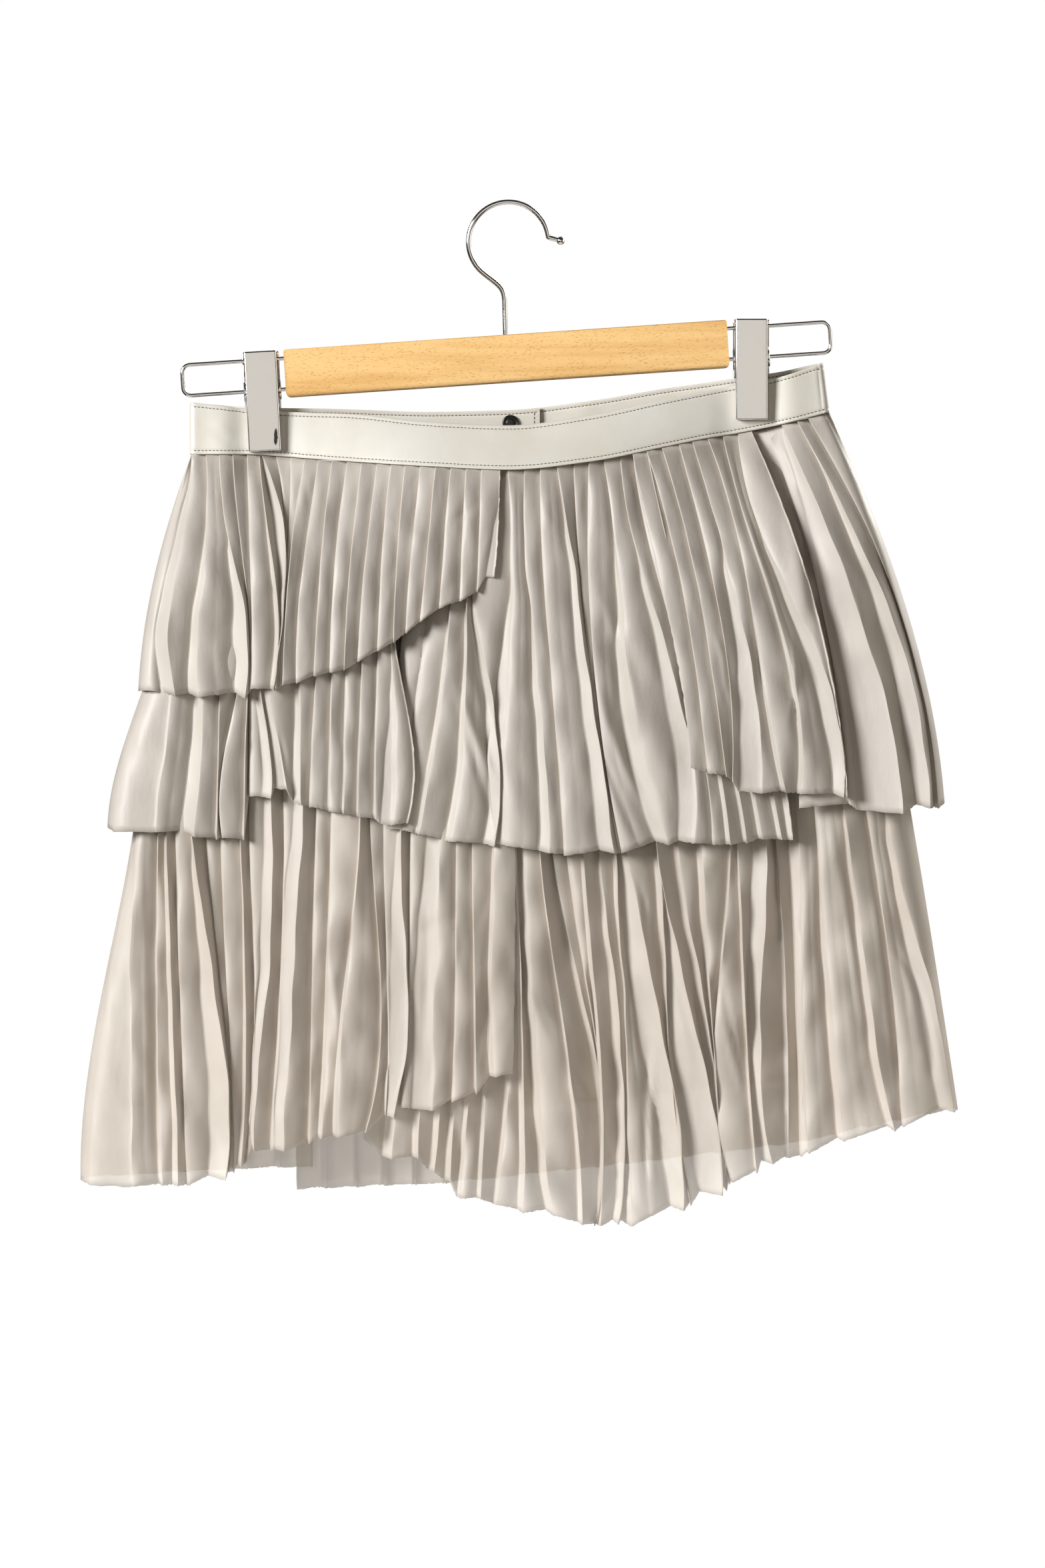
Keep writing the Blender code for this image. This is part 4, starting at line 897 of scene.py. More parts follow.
def colour(code):
    """An sRGB hex colour as linear values."""
    values = [int(code[i : i + 2], 16) / 255 for i in (1, 3, 5)]
    linear = [v / 12.92 if v <= 0.04045 else ((v + 0.055) / 1.055) ** 2.4 for v in values]
    return (*linear, 1.0)


def shaded(tone, red, green=None, blue=None):
    """A linear colour times one factor, or one for each part."""
    factors = (red, red if green is None else green, red if blue is None else blue)
    return (*(min(v * k, 1.0) for v, k in zip(tone, factors)), 1.0)


def fill_inputs(tree, node, links):
    """Joins or sets a node's inputs, given by name or number as sockets or values."""
    for name, value in links.items():
        if isinstance(value, bpy.types.NodeSocket):
            tree.links.new(value, node.inputs[name])
        else:
            node.inputs[name].default_value = value


def add_node(tree, kind, links=None, **settings):
    """Adds a node, with its settings and its inputs."""
    made = tree.nodes.new(kind)
    for name, value in settings.items():
        setattr(made, name, value)
    fill_inputs(tree, made, links or {})
    return made


def noise(tree, vector, scale, **links):
    """A noise's grey value, at a scale in features to the metre, or at 1 over scaled coordinates."""
    return add_node(tree, "ShaderNodeTexNoise", {"Vector": vector, "Scale": scale, **links}).outputs["Fac"]


def stretched(tree, vector, scale, **links):
    """Coordinates scaled by three factors, and moved or turned if asked."""
    return add_node(tree, "ShaderNodeMapping", {"Vector": vector, "Scale": scale, **links}).outputs["Vector"]


def remap(tree, value, start, end, **settings):
    """A value moved from one range to another and held at its ends."""
    links = {"Value": value, "From Min": start[0], "From Max": start[1], "To Min": end[0], "To Max": end[1]}
    return add_node(tree, "ShaderNodeMapRange", links, **settings).outputs["Result"]


def bump(tree, height, strength, distance, normal=None, **settings):
    """A normal roughened by a height, over another normal if one is given."""
    links = {"Height": height, "Strength": strength, "Distance": distance}
    if normal is not None:
        links["Normal"] = normal
    return add_node(tree, "ShaderNodeBump", links, **settings).outputs["Normal"]


def reckon(tree, operation, *values):
    """The result of arithmetic on two or three values."""
    return add_node(tree, "ShaderNodeMath", dict(enumerate(values)), operation=operation).outputs["Value"]


def blend(tree, factor, first, second):
    """A colour between two others."""
    links = {0: factor, 6: first, 7: second}
    return add_node(tree, "ShaderNodeMix", links, data_type="RGBA").outputs[2]


def ramp(tree, value, *stops):
    """A colour ramp through stops of (place, colour)."""
    made = add_node(tree, "ShaderNodeValToRGB", {"Fac": value})
    marks = made.color_ramp.elements
    while len(marks) > 1:
        marks.remove(marks[-1])
    marks[0].position, marks[0].color = stops[0]
    for place, tone in stops[1:]:
        marks.new(place).color = tone
    return made.outputs["Color"]


def new_material(name):
    """A material's tree with only a Principled shader and its output, and the piece's coordinates."""
    made = bpy.data.materials.new(name)
    made.use_nodes = True
    tree = made.node_tree
    tree.nodes.clear()
    shader = add_node(tree, "ShaderNodeBsdfPrincipled")
    add_node(tree, "ShaderNodeOutputMaterial", {"Surface": shader.outputs["BSDF"]})
    return made, tree, shader, add_node(tree, "ShaderNodeTexCoord").outputs


def satin_cloth(name, light, dark, alpha=1.0):
    """Polyester satin, woven and heat pleated: a soft sheen, a faint uneven tone, hardly any weave."""
    made, tree, shader, place = new_material(name)
    clouds = noise(tree, place["Object"], 1 / 0.045, Detail=3.0, Roughness=0.55)
    # Threads are 0.12 mm apart in the real cloth. They are drawn 0.6 mm apart, so that they show at all.
    threads = noise(tree, stretched(tree, place["UV"], (1 / 0.0006, 1 / 0.0036, 1.0)), 1.0, Detail=2.0)
    upright = stretched(tree, place["Object"], (1 / 0.008, 1 / 0.008, 1 / 0.02))
    crumple = noise(tree, upright, 1.0, Detail=4.0, Roughness=0.6)
    weave = bump(tree, threads, 0.12, 0.0002)
    looks = {
        "Base Color": ramp(tree, clouds, (0.3, colour(dark)), (0.7, colour(light))),
        "Normal": bump(tree, crumple, 0.28, 0.0012, weave),
        "Roughness": remap(tree, clouds, (0.3, 0.7), (0.46, 0.58)),
        "Alpha": alpha,
    }
    fill_inputs(tree, shader, looks)
    return made


def lining_cloth(hex_colour):
    """Acetate lining, woven plain: smooth, thin and a little duller than the satin."""
    made, tree, shader, place = new_material("acetate lining, woven")
    threads = noise(tree, stretched(tree, place["UV"], (1 / 0.0008, 1 / 0.002, 1.0)), 1.0, Detail=2.0)
    clouds = noise(tree, place["Object"], 1 / 0.06, Detail=2.0)
    base = colour(hex_colour)
    looks = {
        "Base Color": ramp(tree, clouds, (0.3, shaded(base, 0.9)), (0.7, base)),
        "Normal": bump(tree, threads, 0.15, 0.0002),
        "Roughness": 0.5,
    }
    fill_inputs(tree, shader, looks)
    return made


def smooth_leather(hex_colour):
    """Calf leather, pigment finished and pressed smooth: an even cream with a faint grain and a low gloss."""
    made, tree, shader, place = new_material("calf leather, pigmented")
    cells = {"Vector": place["Object"], "Scale": 1 / 0.0009, "Randomness": 1.0}
    pores = add_node(tree, "ShaderNodeTexVoronoi", cells, feature="DISTANCE_TO_EDGE").outputs["Distance"]
    clouds = noise(tree, place["Object"], 1 / 0.035, Detail=4.0, Roughness=0.55)
    base = colour(hex_colour)
    looks = {
        "Base Color": ramp(tree, clouds, (0.32, shaded(base, 0.93, 0.92, 0.88)), (0.68, base)),
        "Normal": bump(tree, clouds, 0.25, 0.002, bump(tree, pores, 0.1, 0.00015)),
        "Roughness": remap(tree, clouds, (0.3, 0.7), (0.42, 0.54)),
    }
    fill_inputs(tree, shader, looks)
    return made


def sewing_thread(hex_colour):
    """Polyester sewing thread, twisted: matt and darker than the leather; its dark tone is partly its own and
    partly painted shade of its groove and needle holes.
    """
    made, tree, shader, place = new_material("polyester thread, twisted")
    fuzz = noise(tree, place["Object"], 1 / 0.0012)
    base = colour(hex_colour)
    tone = ramp(tree, fuzz, (0.35, shaded(base, 0.7)), (0.65, base))
    fill_inputs(tree, shader, {"Base Color": tone, "Roughness": 0.7})
    return made


BAR_GRAIN_SLOPE = math.radians(28.0)
BAR_STREAK_SLOPE = 0.09


def lacquered_beech(hex_colour, pore_colour):
    """Steamed beech, planed and lacquered: warm tan, with short dark flecks and faint streaks lengthways."""
    made, tree, shader, place = new_material("steamed beech, lacquered")
    along_bar = stretched(tree, place["Object"], (9.0, 60.0, 150.0), Rotation=(0.0, BAR_STREAK_SLOPE, 0.0))
    streaks = noise(tree, along_bar, 1.0, Detail=5.0, Roughness=0.6, Distortion=0.4)
    base = colour(hex_colour)
    low, high = shaded(base, 0.88, 0.8, 0.68), shaded(base, 1.05, 1.08, 1.16)
    tone = ramp(tree, streaks, (0.3, low), (0.52, base), (0.75, high))
    # Each ray fleck is 1 to 2 mm long and about 0.25 mm across. They lie in cells 2.4 by 0.6 mm.
    size = (1 / 0.0024, 1 / 0.0024, 1 / 0.0006)
    cell = stretched(tree, place["Object"], size, Rotation=(0.0, BAR_GRAIN_SLOPE, 0.0))
    cells = add_node(tree, "ShaderNodeTexVoronoi", {"Vector": cell, "Scale": 1.0})
    near = remap(tree, cells.outputs["Distance"], (0.2, 0.42), (1.0, 0.0))
    chosen = add_node(tree, "ShaderNodeSeparateColor", {"Color": cells.outputs["Color"]})
    fleck = reckon(tree, "MULTIPLY", near, remap(tree, chosen.outputs["Red"], (0.3, 0.95), (0.0, 0.6)))
    looks = {
        "Base Color": blend(tree, fleck, tone, colour(pore_colour)),
        "Normal": bump(tree, fleck, 0.3, 0.0002, invert=True),
        "Roughness": 0.36,
    }
    fill_inputs(tree, shader, looks)
    return made


# A place where plating is scuffed through to dark steel: its middle X and Z, its half width and its half
# height.
Scuff = namedtuple("Scuff", "x z width height")
CLIP_SCUFF = Scuff(-129.0, -129.5, 1.7, 8.0)
SCUFFED_STEEL = "#4A4744"


def scuffed(tree, place, scuff):
    """From 0 to 1, how worn the plating is: a ragged upright streak."""
    middle = (-scuff.x / scuff.width, 0.0, -scuff.z / scuff.height)
    scale = (1 / (scuff.width * MM), 0.0, 1 / (scuff.height * MM))
    moved = stretched(tree, place["Object"], scale, Location=middle)
    reach = add_node(tree, "ShaderNodeVectorMath", {0: moved}, operation="LENGTH").outputs["Value"]
    rags = noise(tree, place["Object"], 1 / 0.0011, Detail=3.0, Roughness=0.7)
    return remap(tree, reckon(tree, "MULTIPLY_ADD", reach, 1.6, rags), (1.35, 1.55), (1.0, 0.0))


def chrome_plate(name, hex_colour, roughness, scuff=None):
    """Steel, chrome plated: a bright mirror, a little hazed by handling, and dark where it is scuffed."""
    made, tree, shader, place = new_material(name)
    haze = noise(tree, place["Object"], 1 / 0.012, Detail=5.0, Roughness=0.65)
    tone = colour(hex_colour)
    if scuff:
        tone = blend(tree, scuffed(tree, place, scuff), tone, colour(SCUFFED_STEEL))
    gloss = remap(tree, haze, (0.35, 0.75), (roughness, roughness + 0.1))
    fill_inputs(tree, shader, {"Base Color": tone, "Roughness": gloss, "Metallic": 1.0})
    return made


def gunmetal_plate(hex_colour):
    """Brass, plated gunmetal and tumbled: dark, with a soft worn shine on its rim."""
    made, tree, shader, place = new_material("gunmetal plated brass")
    wear = noise(tree, place["Object"], 1 / 0.0016, Detail=4.0)
    base = colour(hex_colour)
    tone = ramp(tree, wear, (0.45, base), (0.75, shaded(base, 2.2)))
    fill_inputs(tree, shader, {"Base Color": tone, "Metallic": 1.0, "Roughness": 0.34})
    return made


def paper_floor(hex_colour):
    """Matt paper, rolled: a pale floor with no pattern."""
    made, tree, shader, place = new_material("matt paper, rolled")
    fibres = noise(tree, place["Object"], 1 / 0.004)
    looks = {"Base Color": colour(hex_colour), "Normal": bump(tree, fibres, 0.05, 0.0002), "Roughness": 0.9}
    fill_inputs(tree, shader, looks)
    return made


# ---------------------------------------------------------------- stitches


def stitch_tree(material):
    """Lays a short sunk stitch at every pitch along a curve. The group's own values are in metres."""
    tree = bpy.data.node_groups.new("row of stitches", "GeometryNodeTree")
    face = tree.interface
    face.new_socket("Geometry", in_out="INPUT", socket_type="NodeSocketGeometry")
    sizes = {}
    for name, value in (("Pitch", 0.002), ("Length", 0.0014), ("Width", 0.0005)):
        sizes[name] = face.new_socket(name, in_out="INPUT", socket_type="NodeSocketFloat")
        sizes[name].default_value = value
    face.new_socket("Geometry", in_out="OUTPUT", socket_type="NodeSocketGeometry")
    start = add_node(tree, "NodeGroupInput").outputs
    line = {"Curve": start["Geometry"], "Length": start["Pitch"]}
    spots = add_node(tree, "GeometryNodeCurveToPoints", line, mode="LENGTH").outputs
    ball = {"Segments": 6, "Rings": 5, "Radius": 0.5}
    thread = add_node(tree, "GeometryNodeMeshUVSphere", ball).outputs["Mesh"]
    sides = {"X": start["Width"], "Y": start["Width"], "Z": start["Length"]}
    size = add_node(tree, "ShaderNodeCombineXYZ", sides).outputs["Vector"]
    shaped = add_node(tree, "GeometryNodeTransform", {"Geometry": thread, "Scale": size}).outputs["Geometry"]
    places = {"Points": spots["Points"], "Instance": shaped, "Rotation": spots["Rotation"]}
    laid = add_node(tree, "GeometryNodeInstanceOnPoints", places).outputs["Instances"]
    steps = (
        ("GeometryNodeRealizeInstances", {}),
        ("GeometryNodeSetShadeSmooth", {}),
        ("GeometryNodeSetMaterial", {"Material": material}),
    )
    for kind, values in steps:
        laid = add_node(tree, kind, {"Geometry": laid, **values}).outputs["Geometry"]
    add_node(tree, "NodeGroupOutput", {"Geometry": laid})
    return tree, {name: socket.identifier for name, socket in sizes.items()}


def stitch_row(name, lines, tree, inputs, sizes):
    """Rows of stitches along lines of points in millimetres, as one piece."""
    curve = bpy.data.curves.new(name, "CURVE")
    curve.dimensions = "3D"
    for points in lines:
        line = curve.splines.new("POLY")
        line.points.add(len(points) - 1)
        for spot, point in zip(line.points, points):
            spot.co = (*(np.asarray(point) * MM), 1.0)
    made = make_object(name, curve)
    change = made.modifiers.new("stitches", "NODES")
    change.node_group = tree
    for key, value in sizes.items():
        change[inputs[key]] = value
    return evaluated_piece(made)


# ---------------------------------------------------------------- metal and wood


TURNED_SHARP_DEGREES = 40
BOX_SHARP_DEGREES = 50
WELD_METRES = 1e-6


def close_mesh(name, verts, faces):
    """A closed mesh in millimetres, with its normals turned outwards."""
    shape = bmesh.new()
    made = [shape.verts.new(Vector(vert) * MM) for vert in verts]
    for face in faces:
        corners = []
        for i in face:
            if made[i] not in corners:
                corners.append(made[i])
        if len(corners) > 2:
            shape.faces.new(corners)
    loose = [vert for vert in shape.verts if not vert.link_faces]
    bmesh.ops.delete(shape, geom=loose, context="VERTS")
    bmesh.ops.recalc_face_normals(shape, faces=shape.faces[:])
    return shade(mesh_from(name, shape), TURNED_SHARP_DEGREES)


def ring_faces(rings, sides):
    """The four-cornered faces between neighbouring rings of points."""
    faces = []
    for i in range(rings - 1):
        for k in range(sides):
            n = (k + 1) % sides
            a, b = i * sides, (i + 1) * sides
            faces.append((a + k, a + n, b + n, b + k))
    return faces


def tube_mesh(name, points, radii, sides=20):
    """A round wire along a flat route in the plane of X and Z, closed at both ends."""
    verts = []
    count = len(points)
    for i, (point, radius) in enumerate(zip(points, radii)):
        way = (points[min(i + 1, count - 1)] - points[max(i - 1, 0)]).normalized()
        side = Vector((0.0, 1.0, 0.0))
        other = way.cross(side).normalized()
        for k in range(sides):
            angle = 2 * math.pi * k / sides
            verts.append(point + radius * (math.cos(angle) * side + math.sin(angle) * other))
    ends = [tuple(range(sides)), tuple(range((count - 1) * sides, count * sides))]
    return close_mesh(name, verts, ring_faces(count, sides) + ends)


def turned_mesh(name, profile, centre, way, sides=48):
    """A turned shape from a profile of radius and height along way, ends of no radius closed."""
    turn = way.normalized().to_track_quat("Z", "X")
    verts = []
    for radius, height in profile:
        for k in range(sides):
            angle = 2 * math.pi * k / sides
            spot = Vector((radius * math.cos(angle), radius * math.sin(angle), height))
            verts.append(centre + turn @ spot)
    shape = close_mesh(name, verts, ring_faces(len(profile), sides))
    work = bmesh.new()
    work.from_mesh(shape)
    bmesh.ops.remove_doubles(work, verts=work.verts[:], dist=WELD_METRES)
    bmesh.ops.recalc_face_normals(work, faces=work.faces[:])
    work.to_mesh(shape)
    work.free()
    return shape


HANGER_TILT = math.radians(3.85)
BAR_CENTRE = Vector((-1.1, 0.0, -85.8))
BAR_LENGTH = 246.6
BAR_THICKNESS = 12.0
BAR_HEIGHT = 26.6
BAR_TOP_ROUNDING = 1.4
BAR_FOOT_ROUNDING = 2.8
HOOK_WIRE = 2.7
HOOK_INSIDE_RADIUS = 20.9
HOOK_STEM_X = -1.5
HOOK_BALL = 4.6
HOOK_BALL_CENTRE = Vector((29.0, 0.0, -20.2))
HOOK_NECK = Vector((23.6, 0.0, -18.8))
HOOK_STEM_TOP = Vector((HOOK_STEM_X - 0.6, 0.0, -54.5))
# The hook's arc, in degrees: where it starts, and one step of its ARC_POINTS points.
ARC_START = 7
ARC_STEP = 3
ARC_POINTS = 76
# From the arc's end to the stem's top it bends along a curve with these two pulls.
BEND_PULL_OUT = 11.0
BEND_PULL_IN = Vector((-0.4, 0.0, 9.0))
BEND_POINTS = 18
STEM_POINTS = 6
BALL_POINTS = 11
BALL_STEP_DEGREES = 13.5
BALL_FOOT_PART = 0.62
BALL_FOOT_SHARE = 0.95
LOOP_WIRE = 2.1
LOOP_REACH = 58.0
LOOP_HEIGHT = 17.1
LOOP_CORNER = 4.5
LOOP_ARM_POINTS = 8
LOOP_CORNER_POINTS = 12
BORE_DEPTH = 9.0
BORE_ROOM = 0.35
BORE_OVERSHOOT = 3
WIRE_INSIDE = 7.0

Clip = namedtuple("Clip", "side x z width height tilt")
CLIPS = (
    Clip("left", -136.5, -109.5, 18.0, 55.6, math.radians(-2.9)),
    Clip("right", 134.9, -91.8, 17.7, 56.0, 0.0),
)
JAW_DEPTH = 5.5
JAW_WALL = 0.9
JAW_FRONT = 9.5
JAW_ROUNDING = 0.9
BACK_JAW_EXTRA = 1.2
EAR_RADIUS = 5.5
EAR_WALL = 0.8
EAR_RIM = 0.25


def from_bar(x, z, y=0.0):
    """A place given along, across and through the tilted bar, as a world place."""
    return BAR_CENTRE + Matrix.Rotation(-HANGER_TILT, 3, "Y") @ Vector((x, y, z))


def wire_at(x):
    """Where the lower wire of a loop passes at a given X."""
    low = from_bar(0.0, -LOOP_HEIGHT / 2)
    return Vector((x, 0.0, low.z + (x - low.x) * math.tan(HANGER_TILT)))


def hook_route():
    """The hook's centre line and radii, from the ball at its tip over the top and down into the bar."""
    reach = HOOK_INSIDE_RADIUS + HOOK_WIRE / 2
    centre = Vector((0.0, 0.0, -HOOK_INSIDE_RADIUS))
    arc = []
    for i in range(ARC_POINTS):
        angle = math.radians(ARC_START + ARC_STEP * i)
        arc.append(centre + reach * Vector((math.cos(angle), 0.0, math.sin(angle))))
    start = arc[-1]
    leave = (arc[-1] - arc[-2]).normalized()
    pull_out = start + leave * BEND_PULL_OUT
    pull_in = HOOK_STEM_TOP + BEND_PULL_IN
    bend = []
    for i in range(1, BEND_POINTS + 1):
        t = i / BEND_POINTS
        upper = start * (1 - t) ** 3 + pull_out * 3 * t * (1 - t) ** 2
        bend.append(upper + pull_in * 3 * t * t * (1 - t) + HOOK_STEM_TOP * t**3)
    foot = Vector((HOOK_STEM_X, 0.0, BAR_CENTRE.z + BAR_HEIGHT / 2 - WIRE_INSIDE))
    stem = [HOOK_STEM_TOP.lerp(foot, k / STEM_POINTS) for k in range(1, STEM_POINTS + 1)]
    ball, neck = HOOK_BALL_CENTRE, HOOK_NECK
    out = (ball - neck).normalized()
    tip = []
    for k in range(1, BALL_POINTS + 1):
        angle = math.radians(BALL_STEP_DEGREES * k)
        tip.append((ball + out * math.cos(angle) * HOOK_BALL / 2, math.sin(angle) * HOOK_BALL / 2))
    tip.append((ball.lerp(neck, BALL_FOOT_PART), HOOK_WIRE / 2 * BALL_FOOT_SHARE))
    route = tip + [(neck, HOOK_WIRE / 2)] + [(point, HOOK_WIRE / 2) for point in arc + bend + stem]
    return [point for point, _ in route], [radius for _, radius in route]


def loop_route(side):
    """A wire loop's centre line, out from one bore and back into the other."""
    inner = BAR_LENGTH / 2 - WIRE_INSIDE
    outer = BAR_LENGTH / 2 + LOOP_REACH - LOOP_WIRE / 2
    half, corner = LOOP_HEIGHT / 2, LOOP_CORNER
    arm = outer - corner - inner
    points = [(inner + arm * k / LOOP_ARM_POINTS, half) for k in range(LOOP_ARM_POINTS)]
    for k in range(LOOP_CORNER_POINTS + 1):
        angle = math.radians(90 - 90 / LOOP_CORNER_POINTS * k)
        points.append((outer - corner + corner * math.cos(angle), half - corner + corner * math.sin(angle)))
    points += [(x, -z) for x, z in reversed(points)]
    return [from_bar(side * x, z) for x, z in points]


def round_box(name, size, rounding, keep_open=None):
    """A box about the origin with the given edges rounded: rounding maps a test on an edge to its radius."""
    shape = bmesh.new()
    bmesh.ops.create_cube(shape, size=1.0)
    bmesh.ops.scale(shape, vec=Vector(size), verts=shape.verts[:])
    if keep_open:
        faces = [face for face in shape.faces if keep_open(face.normal)]
        bmesh.ops.delete(shape, geom=faces, context="FACES_ONLY")
        edges = [edge for edge in shape.edges if not edge.link_faces]
        bmesh.ops.delete(shape, geom=edges, context="EDGES")
    for test, radius in rounding:
        edges = [edge for edge in shape.edges if len(edge.link_faces) == 2 and test(edge)]
        curve = {"offset": radius, "segments": 5, "profile": 0.5, "affect": "EDGES", "clamp_overlap": True}
        bmesh.ops.bevel(shape, geom=edges, **curve)
    return shade(mesh_from(name, shape), BOX_SHARP_DEGREES)


def edge_height(edge):
    """The height of an edge's middle."""
    return (edge.verts[0].co.z + edge.verts[1].co.z) / 2


def bar_mesh():
    """The wooden bar with rounded edges, in its place."""
    lower = [(lambda edge: edge_height(edge) < -BAR_HEIGHT / 2 + 0.01, BAR_FOOT_ROUNDING)]
    upper = [(lambda edge: edge_height(edge) > BAR_HEIGHT / 2 - 0.01, BAR_TOP_ROUNDING)]
    mesh = round_box("beech_bar", (BAR_LENGTH, BAR_THICKNESS, BAR_HEIGHT), lower + upper)
    mesh.transform(Matrix.Translation(BAR_CENTRE) @ Matrix.Rotation(-HANGER_TILT, 4, "Y"))
    mesh.transform(Matrix.Scale(MM, 4))
    return mesh


def bore(start, end, diameter):
    """A round cutter between two places."""
    way = end - start
    profile = ((0.0, 0.0), (diameter / 2, 0.0), (diameter / 2, way.length), (0.0, way.length))
    return make_object("bore", turned_mesh("bore", profile, start, way, 24))


def bored_bar():
    """The bar with holes for the hook's stem and the four wire ends."""
    bar = make_object("beech_bar", bar_mesh())
    room = 2 * BORE_ROOM
    top = BAR_CENTRE.z + BAR_HEIGHT / 2
    foot, mouth = (Vector((HOOK_STEM_X, 0, z)) for z in (top - BORE_DEPTH, top + BORE_OVERSHOOT))
    cutters = [bore(foot, mouth, HOOK_WIRE + room)]
    for side in (-1, 1):
        for level in (-1, 1):
            start = from_bar(side * (BAR_LENGTH / 2 - BORE_DEPTH), level * LOOP_HEIGHT / 2)
            end = from_bar(side * (BAR_LENGTH / 2 + BORE_OVERSHOOT), level * LOOP_HEIGHT / 2)
            cutters.append(bore(start, end, LOOP_WIRE + room))
    for cutter in cutters:
        change = bar.modifiers.new("bore", "BOOLEAN")
        change.operation = "DIFFERENCE"
        change.object = cutter
    bar = evaluated_piece(bar)
    for cutter in cutters:
        bpy.data.objects.remove(cutter)
    bar.data.set_sharp_from_angle(angle=math.radians(BOX_SHARP_DEGREES))
    return bar


def jaw_piece(clip, label, facing, extra):
    """One pressed jaw: a plate with its four edges folded back towards the band."""
    name = f"jaw_{clip.side}_{label}"
    width = clip.width + 2 * extra
    mesh = round_box(
        name,
        (width, JAW_DEPTH, clip.height),
        [(lambda edge: True, JAW_ROUNDING)],
        keep_open=lambda normal: normal.y * facing < -0.5,
    )
    mesh.transform(Matrix.Translation((0.0, facing * (JAW_FRONT - JAW_DEPTH / 2), 0.0)))
    mesh.transform(Matrix.Translation((clip.x, 0.0, clip.z)) @ Matrix.Rotation(clip.tilt, 4, "Y"))
    mesh.transform(Matrix.Scale(MM, 4))
    made = make_object(name, mesh)
    wall = made.modifiers.new("plate", "SOLIDIFY")
    wall.thickness = JAW_WALL * MM
    wall.offset = -1.0
    return made


def ear_mesh(clip, side):
    """One of the back jaw's round ears, with the eye that the lower wire runs through."""
    reach = clip.width / 2 + BACK_JAW_EXTRA
    inner = wire_at(clip.x + side * (reach - EAR_WALL))
    outer = wire_at(clip.x + side * reach)
    eye = LOOP_WIRE / 2 + BORE_ROOM
    outside = ((EAR_RADIUS, 0.0), (EAR_RADIUS, EAR_WALL - EAR_RIM), (EAR_RADIUS - EAR_RIM, EAR_WALL))
    inside = ((eye + EAR_RIM, EAR_WALL), (eye, EAR_WALL - EAR_RIM), (eye, 0.0))
    profile = ((eye, 0.0), *outside, *inside)
    return turned_mesh("ear", profile, inner, outer - inner, 40)


def join_meshes(name, meshes):
    """Several meshes in one, each kept as it is."""
    shape = bmesh.new()
    for mesh in meshes:
        shape.from_mesh(mesh)
    return mesh_from(name, shape)


# ---------------------------------------------------------------- this skirt's pieces

LEFT_UPPER_EDGE = Edge(*UPPER_LEFT[0][:4])
RIGHT_UPPER_EDGE = Edge(*UPPER_SIDE[-1][:4])
LEFT_MIDDLE_EDGE = Edge(*MIDDLE_LEFT[0][:4])
LEFT_LOWER_EDGE = Edge(*LOWER_LEFT[0][:4])
RIGHT_LOWER_EDGE = Edge(*LOWER_MAIN[-1][:4])

BAND_START = on_band(1.4)
BACK_START = on_band(1.0, face="back_out_seam")
UNDER_START = level_start(12.0)
OVER_START = level_start(15.5)
FRONT_UNDER_START = level_start(18.0)
FRONT_OVER_START = level_start(22.5)

UPPER_LEFT_CREASES = (
    Crease(-60.0, -180.0, 46.0, 3.4, -28.0, 0.7),
    Crease(-128.0, -215.0, 52.0, 4.2, 24.0, -0.8),
    Crease(-24.0, -172.0, 22.0, 2.2, 35.0, -0.6),
)
UPPER_RIGHT_CREASES = (
    Crease(112.0, -190.0, 40.0, 3.6, -24.0, 0.7),
    Crease(150.0, -262.0, 54.0, 4.6, -52.0, -0.9),
)
UPPER_SIDE_CREASES = (
    Crease(184.0, -196.0, 42.0, 4.4, -48.0, 1.0),
    Crease(206.0, -268.0, 48.0, 4.8, -58.0, -1.1),
)
MIDDLE_MAIN_CREASES = (
    Crease(21.5, -174.0, 11.0, 1.6, -54.0, 0.8),
    Crease(24.0, -171.0, 9.0, 1.3, -50.0, -0.5),
    Crease(60.0, -240.0, 44.0, 3.8, 18.0, 0.6),
)
MIDDLE_LEFT_CREASES = (
    Crease(-150.0, -300.0, 48.0, 4.2, 22.0, 0.7),
    Crease(-100.0, -306.0, 30.0, 3.0, -20.0, -0.5),
)
LOWER_LEFT_CREASES = (
    Crease(-186.0, -430.0, 54.0, 4.6, 20.0, 0.8),
    Crease(-92.0, -452.0, 42.0, 3.6, -18.0, 0.6),
    Crease(-40.0, -400.0, 36.0, 3.2, 26.0, -0.6),
)
LOWER_MAIN_CREASES = (
    Crease(21.0, -448.0, 30.0, 2.6, -40.0, 0.9),
    Crease(38.0, -482.0, 26.0, 2.4, -46.0, -0.8),
    Crease(150.0, -420.0, 52.0, 4.4, -22.0, 0.8),
    Crease(205.0, -460.0, 44.0, 4.2, -36.0, -0.9),
)
BACK_CREASES = (
    Crease(-110.0, -220.0, 50.0, 4.0, 22.0, 0.7),
    Crease(60.0, -250.0, 44.0, 3.6, -26.0, -0.7),
    Crease(-40.0, -300.0, 48.0, 4.2, 18.0, 0.7),
    Crease(120.0, -430.0, 56.0, 4.6, -20.0, 0.8),
    Crease(-60.0, -470.0, 46.0, 4.0, 30.0, -0.8),
)
BAND_CREASES = (
    Crease(-161.0, -129.0, 17.0, 1.1, -38.0, -0.4),
    Crease(-156.0, -131.0, 15.0, 1.0, -52.0, -0.45),
    Crease(-152.0, -132.0, 12.0, 0.9, -68.0, -0.35),
    Crease(-159.0, -124.0, 13.0, 1.6, -30.0, 0.3),
    Crease(172.9, -102.4, 44.0, 0.6, -84.0, -0.6),
)

